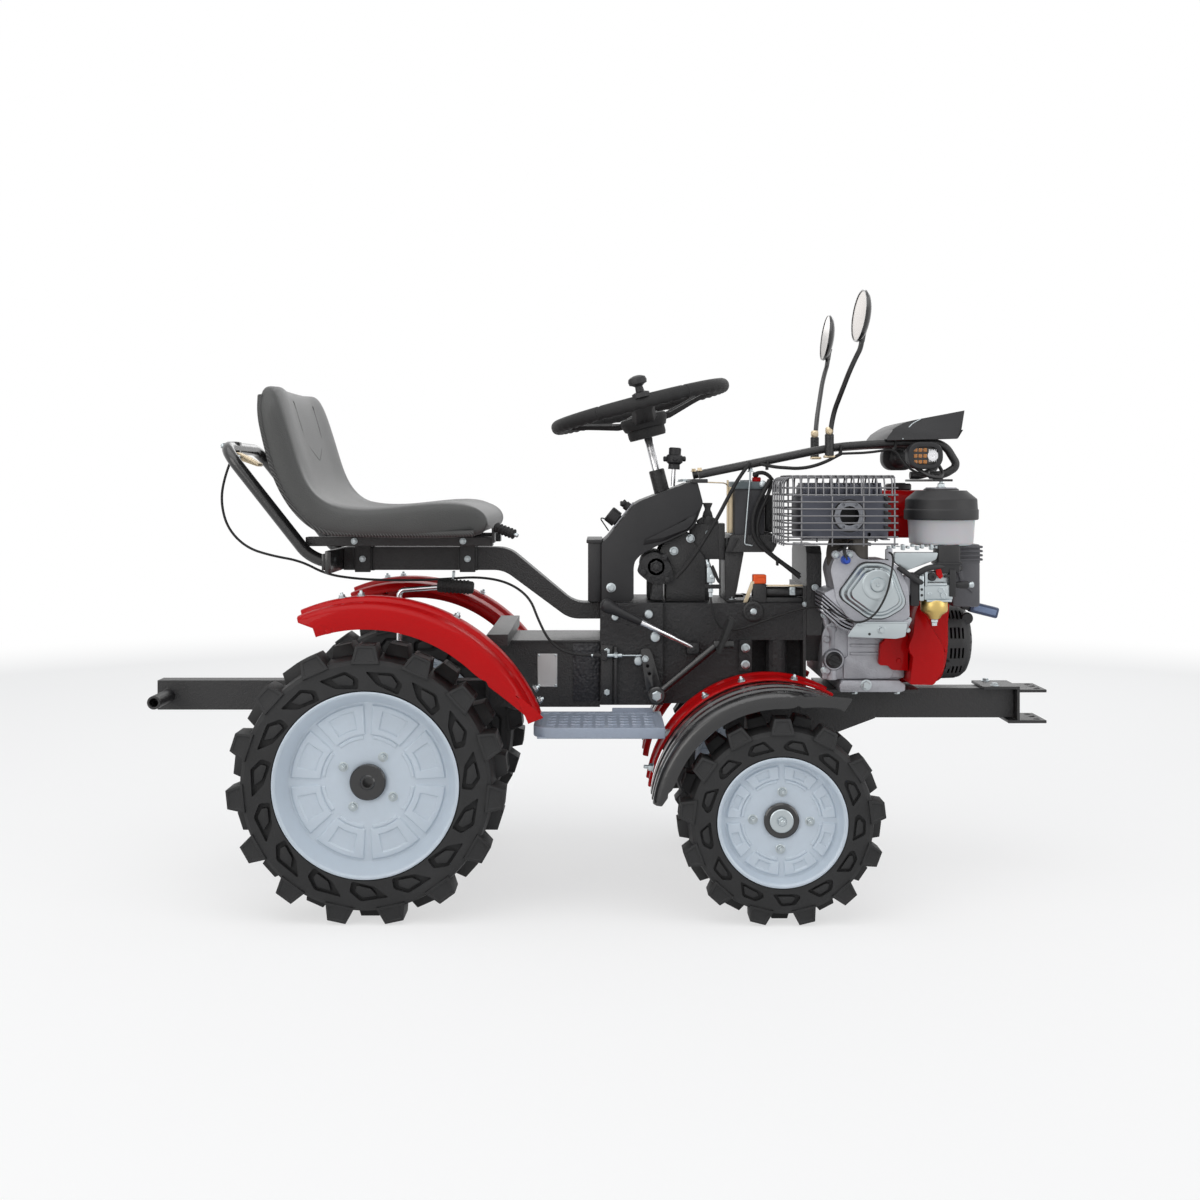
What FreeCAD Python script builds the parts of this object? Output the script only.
import FreeCAD, Part
import math
import os
import re
from FreeCAD import Placement, Rotation, Vector

# A ride-on tiller: a narrow four-wheel tractor with its engine in front, in millimetres.
# +X is forward, +Y is the driver's left, +Z is up, and the origin lies on the ground
# below the middle of the machine.  Right-hand pieces are made first and mirrored.

SIZES = {
    # the machine as a whole
    "halfLength": 902, "halfWidth": 350, "overallHeight": 1169, "wheelbase": 754,
    "rearAxleX": -424.5,
    # wheels and axles
    "rearTyreRadius": 253, "rearTyreWidth": 126, "sideClearance": 5,
    "rearRimRadius": 170, "rearRimLip": 163, "rearLugHeight": 23, "rearLugCount": 15,
    "rearLugFoot": 50, "rearLugTip": 33, "rearDiscInset": 37,
    "frontTyreRadius": 187, "frontTyreWidth": 104,
    "frontRimRadius": 118, "frontRimLip": 111, "frontLugHeight": 19, "frontLugCount": 13,
    "frontLugFoot": 42, "frontLugTip": 28, "frontDiscInset": 22,
    "sidewallInset": 4, "lugOverlap": 6, "lugDraft": 8, "lugCross": 0.1,
    "roundSides": 24, "drumSides": 16, "pinSides": 10, "tubeSides": 8, "cordSides": 5,
    "bendStep": 24, "archStep": 10,
    "rimThickness": 4, "rimProud": 2, "ribHeight": 3, "ribCount": 8, "panelSpread": 33,
    "panelInner": 0.48, "panelOuter": 0.86, "hubRadius": 33, "hubLength": 26, "hubProud": 9,
    "driveShaftRadius": 16, "shaftEngagement": 38, "spindleRadius": 11, "runningGap": 0.5,
    "axleTubeRadius": 35, "axleFlangeRadius": 52, "axleFlangeThickness": 12,
    "axleBoxLength": 121, "axleBoxHalfWidth": 70, "axleBoxDepth": 163, "axleBoxShoulder": 40,
    "axleBoxSlope": 30, "axleTubeGap": 14, "axleBoreEnd": 6,
    # chassis
    "centreBack": 0, "centreFront": 124.5, "centreHalfWidth": 104, "sidePlateThickness": 6,
    "centreBottom": 362, "centreTop": 563,
    "rearBoxBack": -228, "rearBoxHalfWidth": 90, "rearBoxBottom": 355, "rearBoxTop": 484,
    "rearBoxCorner": 12, "lidThickness": 4, "lidOverhang": 5,
    "castingFront": 402, "castingHalfWidth": 100, "castingTop": 562, "castingBottom": 364,
    "castingWindowBack": 300, "castingWindowBottom": 386, "castingWindowTop": 489,
    "castingWindowDepth": 45, "castingColumnRadius": 22, "castingColumnSeat": 2,
    "strapWidth": 25, "strapThickness": 5, "strapFoot": 428,
    "bossX": 303, "bossDrop": 16, "bossRadius": 15, "bossLength": 8, "bossSeat": 2,
    "enginePlateThickness": 6, "enginePlateTop": 596, "housingRadius": 105,
    "housingCentreZ": 546, "housingTop": 675, "housingShoulder": 14, "housingBelly": 58,
    # drawbar and rear cross tube
    "drawbarHalfWidth": 20, "drawbarTop": 398, "drawbarHeight": 60,
    "drawbarWall": 4, "crossTubeInset": 23, "crossTubeDrop": 31, "crossTubeRadius": 13.5,
    "crossTubeBore": 9, "crossTubeReach": 115,
    # front frame and hitch
    "beamBack": 498, "beamHalfWidth": 25, "beamTop": 383, "beamHeight": 60,
    "beamWall": 4, "carrierBack": 255, "carrierBottom": 290, "carrierThickness": 8,
    "carrierNose": 470, "carrierLap": 60, "mountPlateThickness": 6, "mountPlateBack": 446,
    "mountPlateFront": 636, "mountPlateHalfWidth": 84,
    "hitchReach": 54, "hitchWeb": 6, "hitchHalfWidth": 46, "hitchPlateThickness": 6,
    "hitchLowerZ": 315, "hitchFlange": 24, "hitchHoleRadius": 6.5, "hitchHoleSpacing": 30,
    "hitchHoleInset": 16, "hitchRearPlateLength": 50,
    # front axle and steering
    "axleBeamHeight": 40, "axleBeamDepth": 36, "frontAxleRise": 66, "kingpinInset": 76,
    "kingpinRadius": 8, "kingpinSeat": 1, "knuckleRadius": 15, "knuckleHeight": 70,
    "knuckleRise": 20, "yokeGap": 0.5, "yokeThickness": 10, "forkGap": 9,
    "steerArmLength": 92, "steerArmHalfWidth": 7, "steerArmThickness": 8, "steerArmRise": 4,
    "ballPinRadius": 5, "pinGap": 0.3, "eyeGap": 0.5, "tieEyeRadius": 11, "tieEyeHeight": 14,
    "tieRodRise": 8, "tieRodRadius": 6, "tieRodSeat": 2, "spindleReach": 20,
    "spindleShoulder": 20, "shoulderInset": 8,
    "gripSides": 26, "gripCorners": 6, "steerTilt": 14.4, "steerCentreX": 82.1,
    "steerRise": 394, "steerWheelRadius": 174, "steerGripRadius": 13.5,
    "steerHubRadius": 39, "steerHubDepth": 20, "steerHubDrop": 46, "hubTopDrop": 21,
    "spokeWidth": 52, "spokeThickness": 9, "spokeSeat": 4, "spokeShoulder": 62,
    "spokeTurn": 30, "spokeSpread": 120,
    "knobRadius": 18, "knobStemRadius": 7, "knobStemLength": 28, "knobRise": 21,
    "knobDepth": 23, "shaftRadius": 8.5, "collarRadius": 16,
    "collarDrop": 134, "columnLength": 330, "steerBoxRadius": 30, "steerBoxX": 112,
    "steerBoxRise": 70, "steerBoxProud": 10, "steerBracketThickness": 6, "steerBracketY": 70,
    "steerBaseBack": 20, "steerBaseFront": 90, "steerBaseHeight": 70,
    # console
    "consoleHalfWidth": 90, "consoleWall": 3, "consoleMouth": 3,
    "collarClearance": 1, "collarHoleLength": 60,
    "boxBack": -24, "boxFront": 3, "boxHeight": 122, "boxHalfWidth": 84,
    # seat and its support
    "seatBeamHalfWidth": 25, "seatBeamTop": 669, "seatBeamHeight": 46, "seatBeamBack": -522,
    "seatBeamFoot": 557, "seatBeamFootHeight": 33, "seatBeamBend": -196,
    "seatBeamKnee": -62, "seatBeamBendRadius": 60, "seatBeamSlope": 10,
    "seatFrameLift": 7, "seatFrameHeight": 18, "seatFrameBack": -578,
    "seatFrameFront": -211, "seatRailY": 110, "seatRailWidth": 30, "seatCrossWidth": 32,
    "seatCrossDrop": 6, "seatBracketRear": -482, "seatBracketFront": -269,
    "seatBracketThickness": 5, "seatBracketDrop": 4, "seatLap": 1,
    "seatHalfWidth": 228, "seatGap": 0.3, "seatFront": -212,
    "handleRadius": 12, "handleY": 140, "handlePlate": 12, "handlePlateEdge": 20,
    "handleTopX": -735, "handleTopZ": 870, "handleFootReach": 28, "handleFootRise": 4,
    "handleSeat": 4, "handleFootBend": 24, "handleTopBend": 45,
    # fenders and steps
    "fenderRadius": 330, "fenderWall": 3.5, "fenderInnerReach": 27,
    "fenderRearAngle": 113, "fenderFrontAngle": 21, "fenderSkirtTop": 48, "fenderSkirtFront": 20,
    "fenderRidgeHeight": 8, "fenderRidgeWidth": 71, "fenderRidgeShift": 12.6, "ridgeStart": 12,
    "carrierBarBack": -216, "carrierBarDepth": 40, "carrierBarHeight": 22,
    "wingRadius": 237, "wingWall": 4, "wingSeamReach": 46,
    "wingRearAngle": 172, "wingFrontAngle": 61, "wingSkirt": 32, "wingSkirtStart": 4,
    "stepBack": -124, "stepFront": 120, "stepTop": 350, "stepThickness": 6, "stepInset": 50,
    "stepLip": 21, "stepFlange": 70, "stepFlangeBack": 8, "stepFlangeFront": 30,
    # engine
    "crankZ": 500, "engineBack": 438, "crankcaseFront": 600, "crankcaseNear": -112,
    "crankcaseFar": 96, "crankcaseTop": 530, "baseThickness": 23, "baseBack": 472,
    "baseProud": 8, "caseRibCount": 3, "caseRibRise": 52, "caseRibPitch": 16,
    "caseRibThickness": 6, "caseRibReach": 5, "caseRibBack": 62, "caseRibFront": 10,
    "fillerX": 22, "fillerZ": 452, "fillerRadius": 15, "fillerLength": 16,
    "fillerBossRadius": 20, "fillerBossLength": 8, "fillerSeat": 4,
    "cylinderBack": 470, "cylinderFront": 574, "cylinderBottom": 532,
    "cylinderTop": 652, "cylinderSeat": 22, "headY": -216, "finCount": 5, "finThickness": 5,
    "finReach": 14, "finShift": 0.6, "inletHalfWidth": 18, "inletInset": 14,
    "coverMiddle": 516, "coverRise": 6, "coverShoulder": 47, "coverFootHalf": 27,
    "coverHalf": 62, "coverTopHalf": 45, "coverCorner": 8, "coverRim": 12, "coverStep": 18,
    "coverStepInset": 9, "coverDome": 8, "coverDomeRadius": 38, "coverDomeRise": 66,
    "mufflerBack": 377, "mufflerFront": 547, "mufflerBottom": 693, "mufflerTop": 778,
    "mufflerNear": -230, "mufflerFar": -95, "mufflerCorner": 10, "portRadius": 26,
    "portBore": 16, "portBoreDepth": 60, "portProud": 12, "portX": 472, "portRise": 8,
    "exhaustBack": 4, "exhaustWidth": 40, "exhaustInset": 6,
    "guardBack": 345, "guardFront": 554, "guardBottom": 684, "guardTop": 815,
    "guardNear": -262, "guardFar": -70, "wire": 3.2, "guardRows": 9, "guardPosts": 4,
    "guardRoofWires": 14, "guardShoulder": 22, "guardFootWidth": 9, "guardFootHeight": 6,
    "guardFootInset": 14, "guardFootDrop": 8, "recoilDrop": 20,
    "tankBack": 556, "tankFront": 702, "tankNear": -72, "tankFar": 150, "tankBottom": 690,
    "tankTop": 785, "tankCorner": 12, "capRadius": 26, "capHeight": 15, "capInset": 70,
    "tankLegWidth": 20, "tankLegDepth": 40, "tankLegInset": 22,
    "shroudRadius": 108, "shroudFront": 690, "recoilRadius": 80, "recoilFront": 757,
    "skirtFoot": 407, "skirtThickness": 62, "skirtInset": 12, "skirtTop": 550,
    "skirtBack": 520, "skirtKnee": 456, "skirtShoulder": 522, "skirtFootReach": 52,
    "skirtKneeReach": 68, "skirtReach": 80, "skirtTopReach": 78, "skirtNotch": 16,
    "slotCount": 8, "slotDepth": 14, "slotLength": 32, "slotWidth": 7, "slotInset": 8,
    "starterGripY": -55, "starterGripHalf": 15, "starterGripRise": 34,
    "starterGripHeight": 14, "starterGripReach": 34, "starterGripSeat": 6,
    "cleanerX": 663, "cleanerY": -150, "cleanerRadius": 70, "bowlRadius": 65,
    "bowlBottom": 680, "bowlTop": 730, "cleanerTop": 792, "lidSlope": 24, "lidStudRadius": 5,
    "ductBack": 690, "ductFront": 746, "ductNear": -132, "ductFar": -62, "ductBottom": 556,
    "ductRibCount": 3, "ductRibPitch": 12, "ductRibDrop": 16, "ductRibThickness": 5,
    "ductRibReach": 3,
    "carbBack": 606, "carbFront": 684, "carbBottom": 572, "carbTop": 637, "carbY": -190,
    "carbHalfWidth": 26, "carbFlange": 10, "carbInset": 6, "carbBodyInset": 8,
    "fuelBowlRadius": 25, "fuelBowlBottom": 528, "drainRadius": 6, "drainLength": 12,
    "bowlSeat": 2, "elbowRadius": 22,
    # battery, bars, lamps and mirrors
    "batteryBack": 268, "batteryFront": 330, "batteryHalfWidth": 76, "batteryBottom": 650,
    "batteryTop": 806, "trayThickness": 4, "trayFront": 356, "trayBack": 256, "trayWall": 34,
    "legTop": 41, "legFoot": 16, "legY": 66, "legX": 277, "legSlant": 4, "legSeat": 2,
    "relayNear": -60, "relayFar": 10, "relayDrop": 30,
    "switchBack": 180, "switchFront": 250, "switchNear": -64, "switchFar": -24,
    "switchRise": 84, "switchHeight": 72, "switchPostInset": 22, "switchPostSide": 20,
    "switchPostNear": -54, "throttleBack": 208, "throttleFront": 228, "throttleNear": -122,
    "throttleFar": -106, "throttleBottom": 575, "throttleTop": 640, "throttleArm": 15,
    "throttleArmInset": 4,
    "barY": 86, "barRadius": 8, "barBack": 196, "barRiseX": 468, "barRiseZ": 872,
    "barCrestX": 577, "barTop": 880, "barFront": 684, "barNose": 712, "barNoseZ": 834,
    "barFoot": 655, "barBend": 200, "barCrestBend": 14, "barNoseBend": 18,
    "strapBottom": 802, "strapHeight": 6, "strapBack": 180, "strapFront": 214,
    "footBack": 18, "footFront": 22, "footNear": 12,
    "visorHalfWidth": 112, "visorWall": 3, "visorBack": 579, "visorBrowX": 613,
    "visorBrowZ": 922, "visorFront": 726, "visorTop": 945, "visorFrontLow": 719,
    "visorTieBack": 640, "visorTieWidth": 20, "visorTieHeight": 4, "visorMouth": 1,
    "lampBack": 600, "lampFront": 671, "lampBottom": 826, "lampTop": 879, "lampY": 124,
    "lampDepth": 40, "lampCorner": 9, "lampArmHalf": 8, "lampArmDrop": 8, "lampArmRise": 4,
    "mirrorRadius": 50, "mirrorRim": 12, "mirrorShell": 8, "mirrorShellRadius": 35,
    "mirrorX": 497, "mirrorSeat": 6, "mirrorLean": 0.1, "mirrorY": 200, "stalkRadius": 4.5,
    "stalkX": 456, "stalkStub": 30, "stalkBendX": 478, "stalkBendDrop": 89, "stalkSplay": 34,
    "stalkTipReach": 4, "stalkTipSeat": 8, "stalkStubBend": 12, "stalkBend": 60,
    # hand and foot controls
    "leverRadius": 6, "leverGripRadius": 11, "leverRootX": 182, "leverRootZ": 477,
    "leverKneeX": 80, "leverKneeZ": 528, "leverTipX": 6, "leverTipZ": 566,
    "leverRootSplay": 6, "leverKneeSplay": 26, "leverTipSplay": 42, "leverLap": 4,
    "leverRootHalf": 11, "leverRootReach": 16,
    "pedalX": 111, "pedalZ": 384, "pedalPivotRadius": 11, "pedalPivotLength": 30,
    "pedalArmRadius": 9, "pedalArmSplay": 20, "pedalToeX": 222, "pedalToeZ": 481,
    "pedalPadWidth": 50, "pedalPadSplay": 37, "pedalPadHeight": 68, "pedalPadLean": 34,
    "pedalPadThickness": 12, "pedalPadSeat": 7,
    "cableLeverThickness": 6, "cableLeverSplay": 10, "cableLeverHeight": 90,
    "cableLeverLean": 22, "cableLeverHalf": 11,
    "shiftLeverY": 130, "shiftLeverX": -393, "lugRise": 27, "shiftLeverTop": 590,
    "shiftLeverReach": 93, "shiftLeverRise": 6, "shiftBend": 20, "shiftGripRadius": 13,
    "shiftGripLap": 18, "shiftGripLength": 68, "shiftGripDrop": 11,
    "lugHalfWidth": 10, "lugBack": 13, "lugFront": 14,
    "slideThickness": 14, "slideReach": 10, "slideLap": 6, "slideDrop": 12, "slideRise": 14,
    "slideGripBack": 5, "slideGripRise": 20, "slideGripReach": 38, "slideGripSplay": 20,
    "slideGripDrop": 17, "slideGripInset": 2,
    # control cables
    "brakeCord": 5, "throttleCord": 4, "cordShare": 0.45, "glandRadius": 6,
    "glandLength": 32, "glandY": -50, "stopBack": 2, "stopThickness": 12, "stopReach": 18,
    "stopHalf": 9, "stopZ": 461, "sleeveRadius": 5, "sleeveLength": 16, "sleeveY": -120,
    "clipX": 549, "clipHalf": 6, "clipTop": 676, "clipDepth": 13, "clipCordZ": 668,
    "clipApproach": 45, "glandBack": 0.35, "glandDown": 0.937, "glandRun": 38,
    "sleeveApproach": 62,
}

# sizes that follow from the ones above
FOLLOWING = {
    "drawbarBack": "-halfLength", "hitchFront": "halfLength",
    "beamFront": "hitchFront - hitchReach", "crossTubeX": "drawbarBack + crossTubeInset",
    "crossTubeZ": "drawbarTop - crossTubeDrop", "frontAxleX": "rearAxleX + wheelbase",
    "rearWheelY": "halfWidth - sideClearance - rearTyreWidth / 2",
    "frontWheelY": "halfWidth - frontTyreWidth / 2", "kingpinY": "frontWheelY - kingpinInset",
    "axleTubeEnd": "rearWheelY - rearTyreWidth / 2 - axleTubeGap",
    "fenderOuterY": "halfWidth", "wingOuterY": "halfWidth",
    "fenderInnerY": "rearWheelY - rearTyreWidth / 2 - fenderInnerReach",
    "wingSeamY": "frontWheelY - frontTyreWidth / 2 - wingSeamReach",
    "stepOuterY": "halfWidth - stepInset", "mirrorZ": "overallHeight - mirrorRadius",
    "baseFront": "crankcaseFront", "barLevel": "strapBottom + strapHeight + barRadius",
    "stalkBendZ": "mirrorZ - stalkBendDrop", "steerCentreZ": "centreTop + steerRise",
    "steerBoxZ": "centreTop + steerBoxRise", "boxTop": "centreTop + boxHeight",
    "shiftLeverFoot": "rearTyreRadius + lugRise",
    "seatFrameBottom": "seatBeamTop + seatFrameLift",
    "seatFrameTop": "seatFrameBottom + seatFrameHeight",
}

# side views drawn forward and up from one corner: forward, up and the corner's radius
OUTLINES = {
    "seat": [(-28, 0), (-8, 6), (0, 23), (-3, 44), (-38, 68), (-118, 76, 60),
             (-228, 62, 60), (-308, 106, 90), (-354, 206, 120), (-388, 281), (-402, 291),
             (-420, 294), (-434, 281), (-420, 186, 150), (-394, 96, 90), (-348, 34, 50),
             (-288, 0)],
    "console": [(0, 0), (0, 118), (11, 127), (68, 198), (173, 238.5), (191, 239), (202, 197),
                (187, 155), (180, 144), (166, 138), (80, 96), (68, 90), (64, 82), (64, 7),
                (57, 0)],
    "consoleInside": [(3, -3), (3, 117), (16, 125), (73, 194), (174, 235), (187, 235),
                      (198, 197), (212, 137), (173, 127), (123, 105), (81, 77), (81, -3)],
    "columnPlate": [(-22, 0), (98, 0), (98, 88), (58, 142), (14, 116), (14, 80), (-22, 32)],
}

# the middle points of the two free cables, from their fixed ends' straight runs
ROUTES = {
    "brake": [(-764, -50, 757), (-750, -50, 707), (-712, -50, 669), (-660, -50, 653),
              (-603, -50, 643), (-552, -50, 616), (-492, -50, 607), (-430, -50, 604),
              (-368, -50, 604), (-306, -50, 607), (-243, -50, 611), (-184, -60, 601),
              (-140, -78, 572), (-122, -98, 528), (-100, -113, 487)],
    "throttle": [(222, -114, 539), (241, -114, 507), (280, -113, 512), (330, -114, 531),
                 (385, -113, 549), (418, -136, 559), (440, -185, 559), (452, -238, 549),
                 (482, -263, 537), (512, -264, 553), (533, -264, 589), (541, -264, 622)],
}

doc = FreeCAD.newDocument("RideOnTiller")
sheet = doc.addObject("Spreadsheet::Sheet", "Sizes")
for row, (alias, value) in enumerate({**SIZES, **FOLLOWING}.items(), start=1):
    sheet.set(f"A{row}", f"={value}")
    sheet.setAlias(f"A{row}", alias)
    if alias in FOLLOWING:
        doc.recompute()
doc.recompute()


class Sheet:
    """Reads a size from the sheet by its alias."""

    def __getattr__(self, alias):
        return float(sheet.get(alias))


S = Sheet()
X_AXIS = Vector(1, 0, 0)
Y_AXIS = Vector(0, 1, 0)
Z_AXIS = Vector(0, 0, 1)
NODES = []


# ---------------------------------------------------------------- helpers

def bind(thing, prop, expression):
    """Tie a property to an expression in the sheet's words."""
    known = {**SIZES, **FOLLOWING}
    words = re.sub(r"[A-Za-z]\w+", lambda word: "Sizes." + word[0] if word[0] in known else word[0],
                   str(expression))
    thing.setExpression(prop, words)


def node(thing, label):
    """Name a finished sub-part; its label names its file."""
    thing.Label = label
    NODES.append(thing)
    return thing


def block(name, x, y, z):
    """A box between pairs of expressions."""
    piece = doc.addObject("Part::Box", name)
    for side, place, (low, high) in (("Length", "x", x), ("Width", "y", y), ("Height", "z", z)):
        bind(piece, side, f"({high}) - ({low})")
        bind(piece, f"Placement.Base.{place}", low)
    return piece


def rod(name, radius, length, start, direction):
    """A true cylinder that starts at a point and runs along a direction."""
    piece = doc.addObject("Part::Cylinder", name)
    bind(piece, "Radius", radius)
    bind(piece, "Height", length)
    piece.Placement = Placement(Vector(*start), Rotation(Z_AXIS, Vector(*direction)))
    return piece


def drum(name, radius, length, start, direction, sides="drumSides"):
    """A wide round piece, kept light as a prism of many sides."""
    piece = doc.addObject("Part::Prism", name)
    bind(piece, "Polygon", sides)
    bind(piece, "Circumradius", radius)
    bind(piece, "Height", length)
    piece.Placement = Placement(Vector(*start), Rotation(Z_AXIS, Vector(*direction)))
    return piece


def rod_between(name, radius, start, end):
    """A round bar from one point to another."""
    run = Vector(*end) - Vector(*start)
    return drum(name, radius, run.Length, start, run, "tubeSides")


def fuse(name, pieces):
    joined = doc.addObject("Part::MultiFuse", name)
    joined.Shapes = pieces
    return joined


def span(*edges):
    """Two sizes in rising order, as expressions."""
    return tuple(str(edge) for edge in sorted(edges))


def gather(name, pieces):
    """Pieces that only touch, kept as one sub-part."""
    group = doc.addObject("Part::Compound", name)
    group.Links = pieces
    return group


def cut(name, base, tools):
    result = doc.addObject("Part::Cut", name)
    result.Base = base
    result.Tool = tools[0] if len(tools) == 1 else fuse(name + "Tools", tools)
    return result


def mirror(name, source):
    """The same piece on the other side of the machine."""
    copy = doc.addObject("Part::Mirroring", name)
    copy.Source = source
    copy.Normal = Y_AXIS
    return copy


def both_sides(label, right):
    """File a right-hand piece and its mirror image."""
    node(right, label + "_right")
    node(mirror(label.title().replace("_", "") + "Mirror", right), label + "_left")


def pair(label, right):
    """File a right-hand piece and its mirror image as one sub-part."""
    node(gather(label.title().replace("_", "") + "Pair",
                [right, mirror(label.title().replace("_", "") + "Mirror", right)]), label)


def rounded(points):
    """Edges of a closed outline; a point's third number rounds its corner."""
    corners = []
    count = len(points)
    for index, point in enumerate(points):
        here = Vector(point[0], point[1], 0)
        radius = point[2] if len(point) > 2 else 0
        before = Vector(points[index - 1][0], points[index - 1][1], 0) - here
        after = Vector(points[(index + 1) % count][0], points[(index + 1) % count][1], 0) - here
        if not radius:
            corners.append((here, here, None))
            continue
        half = before.getAngle(after) / 2
        reach = radius / math.tan(half)
        before.normalize()
        after.normalize()
        inward = before + after
        inward.normalize()
        middle = here + inward * (radius / math.sin(half) - radius)
        corners.append((here + before * reach, here + after * reach, middle))
    edges = []
    for index, (start, end, middle) in enumerate(corners):
        if middle:
            edges.append(Part.Arc(start, middle, end))
        onward = corners[(index + 1) % count][0]
        if end.distanceToPoint(onward) > 1e-6:
            edges.append(Part.LineSegment(end, onward))
    return edges


def chamfered(points):
    """Edges of a closed outline; a point's third number cuts its corner off flat."""
    corners = []
    for index, point in enumerate(points):
        here = Vector(point[0], point[1], 0)
        reach = point[2] if len(point) > 2 else 0
        if not reach:
            corners.append(here)
            continue
        for other in (points[index - 1], points[(index + 1) % len(points)]):
            toward = Vector(other[0], other[1], 0) - here
            toward.normalize()
            corners.append(here + toward * reach)
    return [Part.LineSegment(start, end) for start, end in zip(corners, corners[1:] + corners[:1])]


def from_corner(name, x, z):
    """A named side view, drawn from a corner of the machine."""
    return [(x + point[0], z + point[1]) + tuple(point[2:]) for point in OUTLINES[name]]


def ring(radius, sides, first=0):
    """A regular outline that stands for a large round edge."""
    corners = []
    for number in range(int(sides)):
        turned = math.radians(first + number * 360 / sides)
        corners.append((radius * math.cos(turned), radius * math.sin(turned)))
    return rounded(corners)


def sketch(body, name, plane, outlines, level="0"):
    """A sketch on one of the body's own planes, moved along that plane's axis."""
    drawing = body.newObject("Sketcher::SketchObject", name)
    origin = [part for part in body.Origin.OriginFeatures if part.Role == plane + "_Plane"][0]
    drawing.AttachmentSupport = [(origin, "")]
    drawing.MapMode = "FlatFace"
    bind(drawing, "AttachmentOffset.Base.z", f"-({level})" if plane == "XZ" else level)
    for outline in outlines:
        for edge in outline:
            drawing.addGeometry(edge, False)
    return drawing


def pad(name, plane, outlines, thickness, level="0"):
    """A body padded to both sides of a level."""
    body = doc.addObject("PartDesign::Body", name)
    add_pad(body, name + "Pad", plane, outlines, thickness, level)
    return body


def add_pad(body, name, plane, outlines, thickness, level="0"):
    feature = body.newObject("PartDesign::Pad", name)
    feature.Profile = sketch(body, name + "Sketch", plane, outlines, level)
    feature.SideType = "Symmetric"
    bind(feature, "Length", thickness)
    return feature


def add_pocket(body, name, plane, outlines, depth, level="0"):
    """Cut an outline to both sides of a level."""
    doc.recompute()
    feature = body.newObject("PartDesign::Pocket", name)
    feature.Profile = sketch(body, name + "Sketch", plane, outlines, level)
    feature.SideType = "Symmetric"
    bind(feature, "Length", depth)
    return feature


def repeat(body, name, features, axis, count):
    """Repeat features round one of the body's own axes."""
    doc.recompute()
    pattern = body.newObject("PartDesign::PolarPattern", name)
    pattern.Originals = features
    origin = [part for part in body.Origin.OriginFeatures if part.Role == axis + "_Axis"][0]
    pattern.Axis = (origin, [""])
    pattern.Angle = 360
    bind(pattern, "Occurrences", count)
    body.Tip = pattern
    return pattern


def route(points, bend):
    """Corner points of a bent bar; each bend is drawn as a few short chords."""
    corners = [Vector(*points[0])]
    for index in range(1, len(points) - 1):
        here = Vector(*points[index])
        before = Vector(*points[index - 1]) - here
        after = Vector(*points[index + 1]) - here
        half = before.getAngle(after) / 2
        radius = bend[index - 1] if isinstance(bend, list) else bend
        before.normalize()
        after.normalize()
        inward = before + after
        inward.normalize()
        centre = here + inward * (radius / math.sin(half))
        first = before * (radius / math.tan(half)) + here - centre
        last = after * (radius / math.tan(half)) + here - centre
        chords = max(1, round(math.degrees(math.pi - 2 * half) / S.bendStep))
        for number in range(chords + 1):
            share = Rotation(first, last)
            share.Angle = share.Angle * number / chords
            corners.append(centre + share.multVec(first))
    corners.append(Vector(*points[-1]))
    return corners


def tube(name, radius, points, bend):
    """A bent round bar swept along its route."""
    corners = route(points, bend)
    spine = doc.addObject("Part::Feature", name + "Route")
    spine.Shape = Part.makePolygon(corners)
    return sweep(name, radius, spine, corners[0], corners[1] - corners[0], "tubeSides")


def sweep(name, radius, spine, start, direction, sides):
    section = doc.addObject("Part::RegularPolygon", name + "Section")
    bind(section, "Polygon", sides)
    bind(section, "Circumradius", radius)
    section.Placement = Placement(start, Rotation(Z_AXIS, direction))
    swept = doc.addObject("Part::Sweep", name)
    swept.Sections = [section]
    swept.Spine = (spine, [f"Edge{number + 1}" for number in range(len(spine.Shape.Edges))])
    swept.Solid = True
    swept.Transition = "Right corner"
    return swept


def cord(label, diameter, points):
    """A control cable: straight runs joined by the widest arcs that they leave room for."""
    corners = [Vector(*point) for point in points]
    edges = []
    radii = []
    last = corners[0]
    for before, here, after in zip(corners, corners[1:], corners[2:]):
        back, onward = before - here, after - here
        half_turn = (math.pi - back.getAngle(onward)) / 2
        radius = S.cordShare * min(back.Length, onward.Length) / math.tan(half_turn)
        reach = S.cordShare * min(back.Length, onward.Length)
        back.normalize()
        onward.normalize()
        inward = back + onward
        inward.normalize()
        middle = here + inward * (radius / math.cos(half_turn) - radius)
        edges.append(Part.LineSegment(last, here + back * reach).toShape())
        edges.append(Part.Arc(here + back * reach, middle, here + onward * reach).toShape())
        last = here + onward * reach
        radii.append(round(radius))
    edges.append(Part.LineSegment(last, corners[-1]).toShape())
    spine = doc.addObject("Part::Feature", label.title().replace("_", "") + "Route")
    spine.Shape = Part.Wire(edges)
    swept = sweep(label.title().replace("_", ""), diameter / 2, spine, corners[0],
                  corners[1] - corners[0], "cordSides")
    doc.recompute()
    section = S.cordSides / 2 * math.sin(2 * math.pi / S.cordSides) * diameter ** 2 / 4
    print(label, "radii", radii, "length", round(spine.Shape.Length, 1), "volume over section",
          round(swept.Shape.Volume / section, 1))
    node(swept, label)


def bar(name, plane, outline, width, level="0"):
    """A flat or square bar whose side view is an outline."""
    return pad(name, plane, [rounded(outline)], width, level)


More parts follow.
